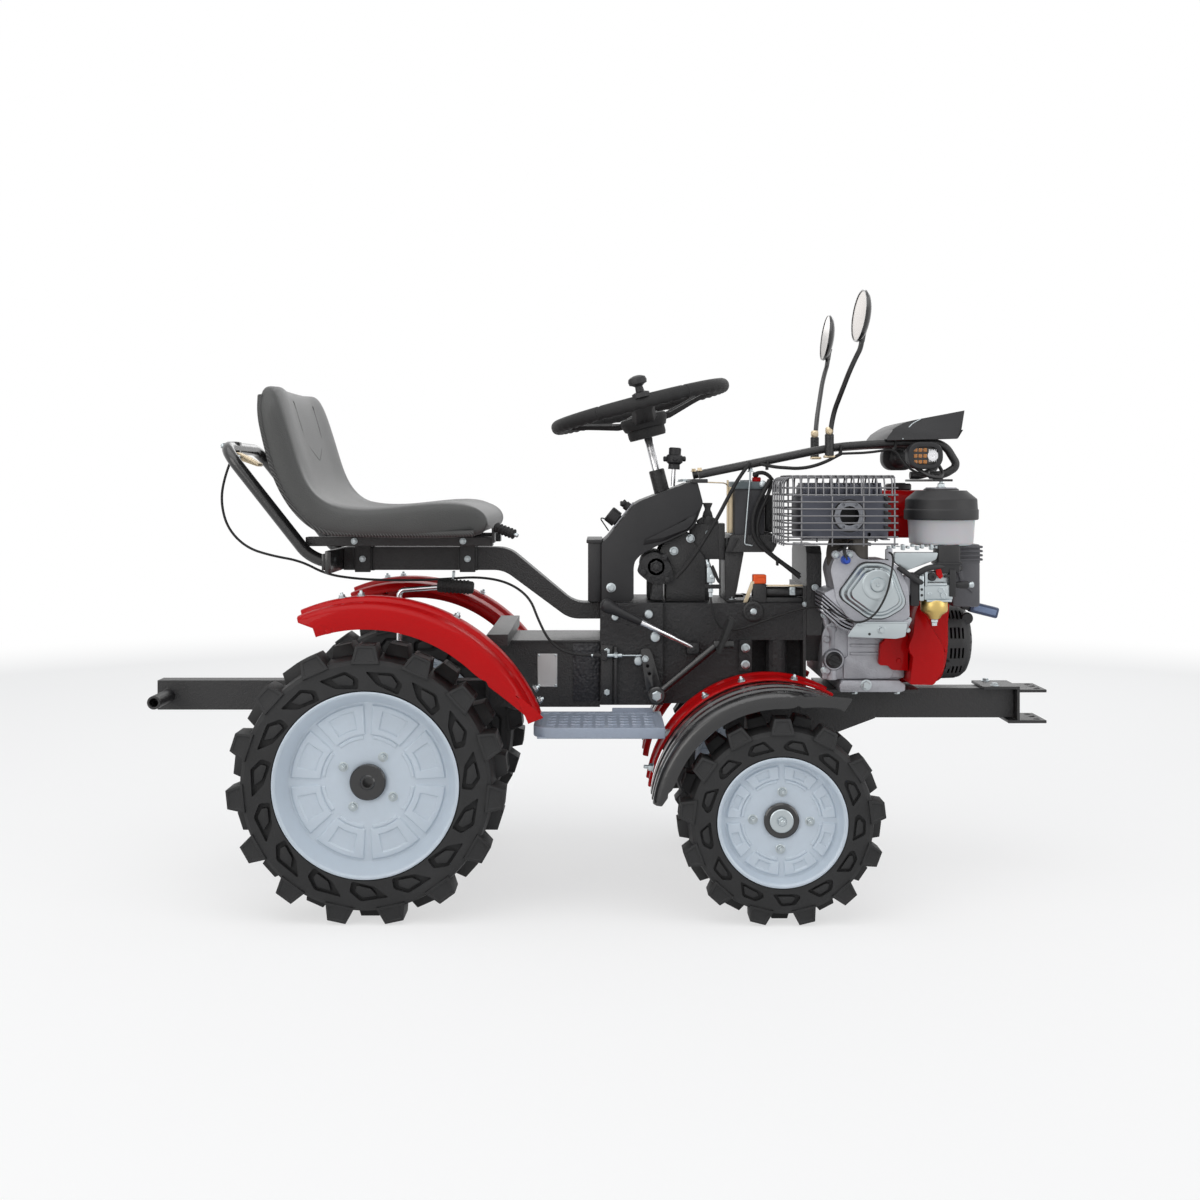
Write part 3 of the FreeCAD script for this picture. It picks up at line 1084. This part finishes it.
def front_fender():
    """The front mudguard: a black outer half with a skirt and a red inner half on the casting."""
    x, z = S.frontAxleX, S.frontTyreRadius
    radius, wall = S.wingRadius, S.wingWall
    start, end = S.wingFrontAngle, S.wingRearAngle
    crown = arc_band(radius, radius - wall, start, end, x, z)
    body = pad("FrontFender", "XZ", [crown], "wingOuterY - wingSeamY",
               "-(wingOuterY + wingSeamY) / 2")
    skirt = arc_band(radius - wall / 2, radius - S.wingSkirt, start + S.wingSkirtStart, end, x, z)
    add_pad(body, "WingSkirt", "XZ", [skirt], "wingWall", "-(wingOuterY - wingWall / 2)")
    both_sides("front_fender", body)
    inner = pad("InnerWing", "XZ", [crown], "wingSeamY - castingHalfWidth",
                "-(wingSeamY + castingHalfWidth) / 2")
    pair("front_fender_inner", inner)


def step():
    """A foot plate with a folded outer lip and an upright flange on the side plate."""
    inner = "centreHalfWidth + sidePlateThickness"
    top = "stepTop"
    plate = block("StepPlate", ("stepBack", "stepFront"), ("-stepOuterY", f"-({inner})"),
                  (top + " - stepThickness", top))
    lip = block("StepLip", ("stepBack", "stepFront"),
                ("-stepOuterY", "-stepOuterY + stepThickness"),
                (top + " - stepLip", top))
    flange = block("StepFlange",
                   ("centreBack + stepFlangeBack", "centreFront - stepFlangeFront"),
                   (f"-({inner}) - stepThickness", f"-({inner})"),
                   (top + " - stepThickness", top + " + stepFlange"))
    pair("steps", fuse("Step", [plate, lip, flange]))


# ---------------------------------------------------------------- engine

def crankcase():
    """The crankcase on its foot, with bearing bosses and an oil filler."""
    low = S.beamTop + S.mountPlateThickness + S.baseThickness
    body = block("Crankcase", ("engineBack", "crankcaseFront"), ("crankcaseNear", "crankcaseFar"),
                 (str(low), "crankcaseTop"))
    foot = block("EngineFoot", ("baseBack", "baseFront"),
                 ("crankcaseNear - baseProud", "crankcaseFar"),
                 ("beamTop + mountPlateThickness", str(low)))
    ribs = []
    for number in range(int(S.caseRibCount)):
        z = low + S.caseRibRise + number * S.caseRibPitch
        ribs.append(block(f"CaseRib{number}",
                          ("engineBack + caseRibBack", "crankcaseFront - caseRibFront"),
                          ("crankcaseNear - caseRibReach", "crankcaseNear"),
                          (f"{z}", f"{z} + caseRibThickness")))
    x = S.engineBack + S.fillerX
    filler = drum("OilFiller", "fillerRadius", "fillerLength + fillerSeat",
                  (x, S.crankcaseNear - S.fillerLength, S.fillerZ), Y_AXIS)
    boss = drum("FillerBoss", "fillerBossRadius", "fillerBossLength + fillerSeat",
                (x, S.crankcaseNear - S.fillerBossLength, S.fillerZ), Y_AXIS)
    node(fuse("EngineCase", [body, foot, filler, boss] + ribs), "crankcase")


def cylinder():
    """The finned cylinder and head, closed by a pressed five-sided cover."""
    near = S.headY
    across = ("cylinderBack + finReach", "cylinderFront - finReach")
    barrel = block("CylinderBarrel", across, ("headY", "crankcaseNear"),
                   ("crankcaseTop - cylinderSeat", "cylinderTop - finReach"))
    neck = block("CylinderNeck", across, ("crankcaseNear", "crankcaseNear + cylinderSeat"),
                 ("crankcaseTop", "cylinderTop - 2 * finReach"))
    pieces = [barrel, neck]
    pitch = (S.crankcaseNear - near) / (S.finCount + 1)
    for number in range(int(S.finCount)):
        y = near + pitch * (number + S.finShift)
        pieces.append(block(f"Fin{number}", ("cylinderBack", "cylinderFront"),
                            (f"{y}", f"{y} + finThickness"), ("cylinderBottom", "cylinderTop")))
    pieces.append(block("InletFlange", ("cylinderFront - finReach", "carbBack"),
                        ("carbY - inletHalfWidth", "carbY + inletHalfWidth"),
                        ("carbBottom + inletInset", "carbTop - inletInset")))
    pieces.append(block("CableClip", ("clipX - clipHalf", "clipX + clipHalf"),
                        ("headY", "headY + clipDepth"), ("cylinderTop - finReach", "clipTop")))
    node(fuse("Cylinder", pieces), "cylinder")
    middle, low, top = S.coverMiddle, S.cylinderBottom, S.cylinderTop + S.coverRise
    shoulder = low + S.coverShoulder

    def outline(inset):
        corner = S.coverCorner
        foot, half, crest = S.coverFootHalf - inset / 2, S.coverHalf - inset, S.coverTopHalf - inset / 2
        return chamfered([(middle - half, shoulder, corner), (middle - foot, low + inset, corner),
                          (middle + foot, low + inset, corner), (middle + half, shoulder, corner),
                          (middle + crest, top - inset, corner),
                          (middle - crest, top - inset, corner)])

    cover = pad("ValveCover", "XZ", [outline(0)], "coverRim", "headY - coverRim / 2")
    add_pad(cover, "CoverStep", "XZ", [outline(S.coverStepInset)], "coverStep",
            "headY - coverRim - coverStep / 2")
    dome = add_pad(cover, "CoverDome", "XZ", [ring(S.coverDomeRadius, S.drumSides)], "2 * coverDome",
                   "headY - coverRim - coverStep")
    shift_sketch(dome, middle, low + S.coverDomeRise)
    node(cover, "valve_cover")


def shift_sketch(feature, x, y):
    """Move a feature's sketch within its own plane."""
    drawing = feature.Profile[0]
    drawing.AttachmentOffset = Placement(Vector(x, y, 0), Rotation())


def muffler():
    """The box silencer with its round port and the pipe up from the head."""
    port_z = (S.mufflerBottom + S.mufflerTop) / 2 + S.portRise
    corner = S.mufflerCorner
    outline = [(S.mufflerBack, S.mufflerBottom, corner), (S.mufflerFront, S.mufflerBottom, corner),
               (S.mufflerFront, S.mufflerTop, corner), (S.mufflerBack, S.mufflerTop, corner)]
    box = pad("Muffler", "XZ", [chamfered(outline)], "mufflerFar - mufflerNear",
              "(mufflerFar + mufflerNear) / 2")
    flange = add_pad(box, "PortFlange", "XZ", [ring(S.portRadius, S.drumSides)], "portProud",
                     "mufflerNear")
    shift_sketch(flange, S.portX, port_z)
    bore = add_pocket(box, "PortBore", "XZ", [ring(S.portBore, S.drumSides)], "portBoreDepth",
                      "mufflerNear")
    shift_sketch(bore, S.portX, port_z)
    pipe = block("ExhaustPipe", ("cylinderBack + exhaustBack",
                                 "cylinderBack + exhaustBack + exhaustWidth"),
                 ("headY + exhaustInset", "headY + exhaustInset + exhaustWidth"),
                 ("cylinderTop", "mufflerBottom + 2"))
    node(fuse("Silencer", [box, pipe]), "muffler")


def muffler_guard():
    """The open wire cage round the silencer: its wires cross face to face.

    Each row runs round the near side and both ends, the roof wires bend over its top edge.
    """
    wires = []
    back, front, low, top = S.guardBack, S.guardFront, S.guardBottom, S.guardTop
    near, far, wire = S.guardNear, S.guardFar, S.wire
    bend = S.guardShoulder
    rows = int(S.guardRows)
    pitch = (top - wire - bend - low) / (rows - 1)
    hoop = [(back, far), (back, near), (front, near), (front, far), (front - wire, far),
            (front - wire, near + wire), (back + wire, near + wire), (back + wire, far)]
    for number in range(rows):
        wires.append(pad(f"GuardRow{number}", "XY", [chamfered(hoop)], "wire",
                         f"{low + pitch * number} + wire / 2"))
    inside = near + wire
    posts = int(S.guardPosts)
    for number in range(posts):
        x = back + wire + (front - back - 3 * wire) * number / (posts - 1)
        wires.append(block(f"GuardPost{number}", (f"{x}", f"{x} + wire"),
                           (f"{inside}", f"{inside} + wire"), (f"{low}", f"{top - bend}")))
    curve = bend / 3
    over = [(inside, top - bend), (inside, top - 2 * curve), (inside + curve, top - wire),
            (inside + curve + wire, top), (far, top), (far, top - wire),
            (inside + curve + 2 * wire, top - wire), (inside + wire, top - 2 * curve - wire),
            (inside + wire, top - bend)]
    count = int(S.guardRoofWires)
    for number in range(count):
        x = back + 1.5 * wire + (front - back - 3 * wire) * number / (count - 1)
        wires.append(pad(f"GuardRoof{number}", "YZ", [chamfered(over)], "wire", f"{x}"))
    for number in (1, posts - 2):
        x = back + wire + (front - back - 3 * wire) * number / (posts - 1)
        for z in (S.mufflerBottom + S.guardFootInset, S.mufflerTop - S.guardFootDrop):
            wires.append(block(f"GuardFoot{number}{z:.0f}", (f"{x}", f"{x} + guardFootWidth"),
                               (f"{inside} + wire", "mufflerNear"),
                               (f"{z}", f"{z} + guardFootHeight")))
    node(gather("MufflerGuard", wires), "muffler_guard")


def fuel_tank():
    """The rounded tank behind the silencer and the air cleaner, on two straps."""
    corner = S.tankCorner
    back, front = S.tankBack, S.tankFront
    plan = [(back, S.tankNear, corner), (front, S.tankNear, corner), (front, S.tankFar, corner),
            (back, S.tankFar, corner)]
    tank = pad("FuelTank", "XY", [chamfered(plan)], "tankTop - tankBottom",
               "(tankTop + tankBottom) / 2")
    cap = drum("FuelCap", "capRadius", "capHeight",
               ((back + front) / 2, S.tankFar - S.capInset, S.tankTop), Z_AXIS)
    legs = []
    for name, y in (("Near", "tankNear + tankLegInset"),
                    ("Far", "crankcaseFar - tankLegInset - tankLegWidth")):
        legs.append(block(f"TankLeg{name}", ("crankcaseFront - tankLegDepth", "crankcaseFront"),
                          (y, y + " + tankLegWidth"), ("crankcaseTop", "tankBottom")))
    node(fuse("Tank", [tank, cap] + legs), "fuel_tank")


def fan_shroud():
    """The red cooling shroud round the flywheel, with its skirt toward the cylinder."""
    x = S.crankcaseFront
    core = drum("ShroudDrum", "shroudRadius", "shroudFront - crankcaseFront", (x, 0, S.crankZ),
                X_AXIS, "roundSides")
    outline = [(x, S.skirtFoot), (x + S.skirtFootReach, S.skirtFoot),
               (x + S.skirtKneeReach, S.skirtKnee), (x + S.skirtReach, S.skirtShoulder),
               (x + S.skirtTopReach, S.skirtTop), (x + S.skirtNotch, S.skirtTop),
               (x, S.skirtBack)]
    skirt = bar("ShroudSkirt", "XZ", outline, "skirtThickness", "crankcaseNear - skirtInset")
    node(fuse("FanShroud", [core, skirt]), "fan_shroud")


def recoil_starter():
    """The starter cover on the shroud's front with its air slots, and its pull handle."""
    z = S.crankZ - S.recoilDrop
    cover = drum("RecoilDrum", "recoilRadius", "recoilFront - shroudFront", (S.shroudFront, 0, z),
                 X_AXIS)
    slots = []
    for number in range(int(S.slotCount)):
        turned = Rotation(X_AXIS, (number + 0.5) * 360 / S.slotCount)
        corner = Vector(0, S.slotInset, -S.slotWidth / 2)
        slot = doc.addObject("Part::Box", f"RecoilSlot{number}")
        bind(slot, "Length", "slotDepth + 1")
        bind(slot, "Width", "slotLength")
        bind(slot, "Height", "slotWidth")
        middle = Vector(S.recoilFront - S.slotDepth, 0, z)
        slot.Placement = Placement(middle + turned.multVec(corner), turned)
        slots.append(slot)
    y = S.starterGripY
    low = S.crankZ + S.starterGripRise
    grip = block("StarterGrip", ("recoilFront - starterGripSeat", "recoilFront + starterGripReach"),
                 (f"{y} - starterGripHalf", f"{y} + starterGripHalf"),
                 (f"{low}", f"{low} + starterGripHeight"))
    node(fuse("Recoil", [cut("RecoilSlotted", cover, slots), grip]), "recoil_starter")


def air_cleaner():
    """The cleaner's clear bowl and black lid, its elbow down to the carburettor and its duct."""
    x, y = S.cleanerX, S.cleanerY
    bowl = drum("CleanerBowl", "bowlRadius", "bowlTop - bowlBottom", (x, y, S.bowlBottom), Z_AXIS,
                "roundSides")
    node(bowl, "cleaner_bowl")
    lid = doc.addObject("PartDesign::Body", "CleanerLid")
    rim_pad = add_pad(lid, "LidRim", "XY", [ring(S.cleanerRadius, S.roundSides)],
                      "cleanerTop - bowlTop", "(cleanerTop + bowlTop) / 2")
    doc.recompute()
    chamfer = lid.newObject("PartDesign::Chamfer", "LidSlope")
    top_edges = [f"Edge{number}" for number, edge in enumerate(rim_pad.Shape.Edges, start=1)
                 if edge.BoundBox.ZMin > S.cleanerTop - 0.01]
    chamfer.Base = (rim_pad, top_edges)
    bind(chamfer, "Size", "lidSlope")
    lid.Placement = Placement(Vector(x, y, 0), Rotation())
    stud = drum("LidStud", "lidStudRadius", "strapBottom - cleanerTop", (x, y, S.cleanerTop),
                Z_AXIS, "tubeSides")
    node(fuse("CleanerCap", [lid, stud]), "cleaner_lid")
    elbow = block("IntakeElbow", (f"{x} - elbowRadius", f"{x} + elbowRadius"),
                  ("carbY - elbowRadius", "carbY + elbowRadius"), ("carbTop", "bowlBottom"))
    duct = block("IntakeDuct", ("ductBack", "ductFront"), ("ductNear", "ductFar"),
                 ("ductBottom", "bowlBottom"))
    ribs = []
    for number in range(int(S.ductRibCount)):
        z = S.bowlBottom - S.ductRibDrop - number * S.ductRibPitch
        ribs.append(block(f"DuctRib{number}", ("ductBack", "ductFront + ductRibReach"),
                          ("ductNear - ductRibReach", "ductFar + ductRibReach"),
                          (f"{z}", f"{z} + ductRibThickness")))
    node(fuse("Intake", [elbow, duct] + ribs), "intake_duct")


def carburettor():
    """The carburettor body with its flanges and brass float bowl."""
    x, y = (S.carbBack + S.carbFront) / 2, S.carbY
    inner = "carbHalfWidth - carbInset"
    body = block("CarbBody", ("carbBack + carbBodyInset", "carbFront - carbBodyInset"),
                 (f"{y} - ({inner})", f"{y} + ({inner})"), ("carbBottom", "carbTop"))
    flanges = []
    for name, start in (("Back", "carbBack"), ("Front", "carbFront - carbFlange")):
        flanges.append(block(f"CarbFlange{name}", (start, start + " + carbFlange"),
                             (f"{y} - carbHalfWidth", f"{y} + carbHalfWidth"),
                             ("carbBottom + carbInset", "carbTop - carbInset")))
    bowl = drum("FloatBowl", "fuelBowlRadius", "carbBottom - fuelBowlBottom + bowlSeat",
                (x, y, S.fuelBowlBottom), Z_AXIS)
    drain = drum("FloatDrain", "drainRadius", "drainLength + bowlSeat",
                 (x, y, S.fuelBowlBottom - S.drainLength), Z_AXIS, "pinSides")
    node(fuse("Carburettor", [body, bowl, drain] + flanges), "carburettor")


# ---------------------------------------------------------------- battery, bars and lamps

def battery():
    """The upright battery in its tray on two tapered legs, and the switches beside it."""
    node(block("Battery", ("batteryBack", "batteryFront"), ("-batteryHalfWidth", "batteryHalfWidth"),
               ("batteryBottom", "batteryTop")), "battery")
    across = ("-batteryHalfWidth - trayThickness", "batteryHalfWidth + trayThickness")
    tray = block("BatteryTray", ("trayBack", "trayFront"), across,
                 ("batteryBottom - trayThickness", "batteryBottom"))
    pieces = [tray]
    for name, low, high in (("Back", "batteryBack - trayThickness", "batteryBack"),
                            ("Front", "batteryFront", "batteryFront + trayThickness")):
        pieces.append(block(f"TrayWall{name}", (low, high), across,
                            ("batteryBottom - trayThickness", "batteryBottom + trayWall")))
    x = S.legX
    foot = x + S.legSlant
    top = S.batteryBottom - S.legSeat
    outline = [(foot - S.legFoot / 2, S.castingTop), (foot + S.legFoot / 2, S.castingTop),
               (x + S.legTop / 2, top), (x - S.legTop / 2, top)]
    leg = bar("BatteryLeg", "XZ", outline, "trayThickness", "-legY")
    pieces += [leg, mirror("BatteryLegFar", leg)]
    pieces.append(block("RelayBox", ("batteryFront + trayThickness", "trayFront"),
                        ("relayNear", "relayFar"), ("batteryBottom", "batteryTop - relayDrop")))
    pieces.append(block("SwitchBox", ("switchBack", "switchFront"), ("switchNear", "switchFar"),
                        ("castingTop + switchRise", "castingTop + switchRise + switchHeight")))
    post = "switchBack + switchPostInset"
    pieces.append(block("SwitchPost", (post, post + " + switchPostSide"),
                        ("switchPostNear", "switchPostNear + switchPostSide"),
                        ("castingTop", "castingTop + switchRise")))
    pieces.append(block("ThrottleUnit", ("throttleBack", "throttleFront"),
                        ("throttleNear", "throttleFar"), ("throttleBottom", "throttleTop")))
    pieces.append(block("ThrottleArm", ("throttleBack + throttleArmInset",
                                        "throttleFront - throttleArmInset"),
                        ("throttleFar", "switchPostNear"),
                        ("throttleBottom", "throttleBottom + throttleArm")))
    node(fuse("BatteryStand", pieces), "battery_stand")


def throttle_cable():
    """The cable from the throttle unit, along the casting and over the valve cover to its clip."""
    x = (S.throttleBack + S.throttleFront) / 2
    y = (S.throttleNear + S.throttleFar) / 2
    before_end = (S.clipX, S.headY - S.clipApproach, S.clipCordZ)
    cord("throttle_cable", S.throttleCord,
         [(x, y, S.throttleBottom), *ROUTES["throttle"], before_end,
          (S.clipX, S.headY, S.clipCordZ)])


def bonnet_bars():
    """Two bent bars over the engine, tied by a strap on the console and a foot on the air cleaner."""
    y = S.barY
    level = S.barLevel
    points = [(S.barBack, -y, level), (S.barRiseX, -y, S.barRiseZ), (S.barCrestX, -y, S.barTop),
              (S.barFront, -y, S.barTop), (S.barNose, -y, S.barNoseZ), (S.barFront, -y, level),
              (S.barFoot, -y, level)]
    near = tube("Bar", "barRadius", points,
                [S.barBend, S.barBend, S.barCrestBend, S.barNoseBend, S.barNoseBend])
    far = mirror("BarFar", near)
    height = ("strapBottom", "strapBottom + strapHeight")
    back = block("BarStrap", ("strapBack", "strapFront"), ("-barY - barRadius", "barY + barRadius"),
                 height)
    front = block("BarFoot", ("cleanerX - footBack", "cleanerX + footFront"),
                  ("cleanerY - footNear", "barY + barRadius"), height)
    node(fuse("BonnetBars", [near, far, back, front]), "bonnet_bars")


def visor():
    """The black hood above the lamps, open below."""
    low = S.barTop + S.barRadius
    wall = S.visorWall
    back, brow, front = S.visorBack, S.visorBrowX, S.visorFront
    outline = [(back, low), (brow, S.visorBrowZ), (front, S.visorTop), (S.visorFrontLow, low)]
    shell = bar("VisorShell", "XZ", outline, "2 * visorHalfWidth")
    mouth = low - S.visorMouth
    inside = [(back + 2 * wall, mouth), (brow + wall, S.visorBrowZ - wall),
              (front - 2 * wall, S.visorTop - wall), (S.visorFrontLow - 2 * wall, mouth)]
    hollow = bar("VisorHollow", "XZ", inside, "2 * visorHalfWidth - 2 * visorWall")
    tie = block("VisorTie", ("visorTieBack", "visorTieBack + visorTieWidth"),
                ("-visorHalfWidth", "visorHalfWidth"), (str(low), f"{low} + visorTieHeight"))
    node(fuse("Visor", [cut("VisorOpen", shell, [hollow]), tie]), "visor")


def headlamps():
    """A lamp hung outside each bonnet bar."""
    corner = S.lampCorner
    outline = [(S.lampBack, S.lampBottom, corner), (S.lampFront, S.lampBottom, corner),
               (S.lampFront, S.lampTop, corner), (S.lampBack, S.lampTop, corner)]
    lamp = pad("Lamp", "XZ", [chamfered(outline)], "lampDepth", "-lampY")
    middle = "(lampBack + lampFront) / 2"
    arm = block("LampArm", (middle + " - lampArmHalf", middle + " + lampArmHalf"),
                ("-lampY + lampDepth / 2", "-barY - barRadius"),
                ("lampTop - lampArmDrop", "lampTop + lampArmRise"))
    pair("headlamps", fuse("Headlamp", [lamp, arm]))


def mirrors():
    """A round rear-view mirror on a bent stalk at each side."""
    x, y, z = S.mirrorX, -S.mirrorY, S.mirrorZ
    foot_y = -S.barY - S.barRadius
    share = (S.stalkX - S.barBack) / (S.barRiseX - S.barBack)
    foot_z = S.barLevel + (S.barRiseZ - S.barLevel) * share
    points = [(S.stalkX, foot_y, foot_z), (S.stalkX, -S.barY - S.stalkStub, foot_z),
              (S.stalkBendX, y + S.stalkSplay, S.stalkBendZ),
              (x + S.stalkTipReach, y, z - S.mirrorRadius + S.stalkTipSeat)]
    stalk = tube("MirrorStalk", "stalkRadius", points, [S.stalkStubBend, S.stalkBend])
    forward = Vector(1, 0, -S.mirrorLean)
    head = drum("MirrorHead", "mirrorRadius", "mirrorRim", (x - S.mirrorSeat, y, z), forward)
    back = drum("MirrorBack", "mirrorShellRadius", "mirrorShell", (x + S.mirrorSeat, y, z - 1),
                forward)
    both_sides("mirror", fuse("Mirror", [stalk, head, back]))


# ---------------------------------------------------------------- hand and foot controls

def controls():
    """The gear lever, seat lever, drive lever, pedal and the three-hole lever beside it."""
    side = S.centreHalfWidth + S.sidePlateThickness
    knee = Vector(S.leverKneeX, -side - S.leverKneeSplay, S.leverKneeZ)
    root = Vector(S.leverRootX, -side - S.leverRootSplay, S.leverRootZ)
    tip = Vector(S.leverTipX, -side - S.leverTipSplay, S.leverTipZ)
    lap = (knee - tip).normalize() * S.leverLap
    lever_shaft = rod_between("LeverShaft", "leverRadius", root, knee)
    lever_grip = rod_between("LeverGrip", "leverGripRadius", knee + lap, tip)
    lever_root = block("LeverRoot", ("leverRootX - leverRootHalf", "leverRootX + leverRootHalf"),
                       (f"{-side} - leverRootReach", "-castingHalfWidth"),
                       ("leverRootZ - leverRootHalf", "leverRootZ + leverRootHalf"))
    node(fuse("GearLever", [lever_shaft, lever_grip, lever_root]), "gear_lever")
    x, z = S.pedalX, S.pedalZ
    pivot = drum("PedalPivot", "pedalPivotRadius", "pedalPivotLength", (x, -side, z), -Y_AXIS,
                 "pinSides")
    arm = rod_between("PedalArm", "pedalArmRadius", (x, -side - S.pedalArmSplay, z),
                      (S.pedalToeX, -side - S.pedalArmSplay, S.pedalToeZ))
    heel_x, heel_z = S.pedalToeX - S.pedalPadSeat, S.pedalToeZ - S.pedalPadSeat
    lean, high, thick = S.pedalPadLean, S.pedalPadHeight, S.pedalPadThickness
    pad_outline = [(heel_x, heel_z), (heel_x + thick, heel_z - thick / 3),
                   (heel_x + thick + lean, heel_z - thick / 3 + high - thick / 3),
                   (heel_x + lean, heel_z + high - thick / 3)]
    pedal_pad = bar("PedalPad", "XZ", pad_outline, "pedalPadWidth", f"{-side} - pedalPadSplay")
    half, lean, high = S.cableLeverHalf, S.cableLeverLean, S.cableLeverHeight
    lever = [(x - half, z + half / 2), (x + half, z), (x + half - lean, z + high),
             (x - half - lean, z + high - half / 2)]
    flat = bar("CableLever", "XZ", lever, "cableLeverThickness", f"{-side} - cableLeverSplay")
    node(fuse("Pedal", [pivot, arm, pedal_pad, flat]), "pedal")
    x, y, top = S.shiftLeverX, -S.shiftLeverY, S.shiftLeverTop
    end = Vector(x + S.shiftLeverReach, y, top + S.shiftLeverRise)
    shift = tube("ShiftRod", "leverRadius", [(x, y, S.shiftLeverFoot), (x, y, top), tuple(end)],
                 S.shiftBend)
    grip_start = end - Vector(S.shiftGripLap, 0, 0)
    grip_end = grip_start + Vector(S.shiftGripLength, 0, -S.shiftGripDrop)
    shift_grip = rod_between("ShiftGrip", "shiftGripRadius", grip_start, grip_end)
    node(fuse("DriveLever", [shift, shift_grip]), "drive_lever")
    slide = block("SlidePlate", ("seatFrameFront", "seatFrameFront + slideThickness"),
                  ("-seatRailY - slideReach", "-seatRailY + slideLap"),
                  ("seatFrameTop - slideDrop", "seatFrameTop + slideRise"))
    start = Vector(S.seatFrameFront + S.slideGripBack, -S.seatRailY - S.slideReach
                   - S.slideGripInset, S.seatFrameTop + S.slideGripRise)
    end = start + Vector(S.slideGripReach, -S.slideGripSplay, -S.slideGripDrop)
    slide_grip = rod_between("SlideGrip", "leverGripRadius", start, end)
    node(fuse("SeatLever", [slide, slide_grip]), "seat_lever")


def build():
    wheels()
    drawbar()
    rear_axle()
    rear_box()
    centre_frame()
    gearbox_casting()
    clutch_housing()
    front_beam()
    front_hitch()
    front_axle()
    knuckles()
    tie_rod()
    steering_wheel()
    steering_column()
    console()
    seat_beam()
    seat_frame()
    seat()
    rear_handle()
    rear_fender()
    fender_carrier()
    front_fender()
    step()
    crankcase()
    cylinder()
    muffler()
    muffler_guard()
    fuel_tank()
    fan_shroud()
    recoil_starter()
    air_cleaner()
    carburettor()
    battery()
    bonnet_bars()
    visor()
    headlamps()
    mirrors()
    controls()
    brake_cable()
    throttle_cable()


build()


doc.recompute()
for thing in doc.Objects:
    bad = {"Invalid", "Error"} & set(thing.State)
    if bad:
        raise RuntimeError(f"{thing.Name} is {sorted(bad)}")
os.makedirs("parts", exist_ok=True)
for thing in NODES:
    if thing.Shape.isNull() or not thing.Shape.isValid():
        raise RuntimeError(f"{thing.Label} has no sound shape")
    thing.Shape.exportStep(f"parts/{thing.Label}.step")
print(len(NODES), "sub-parts")
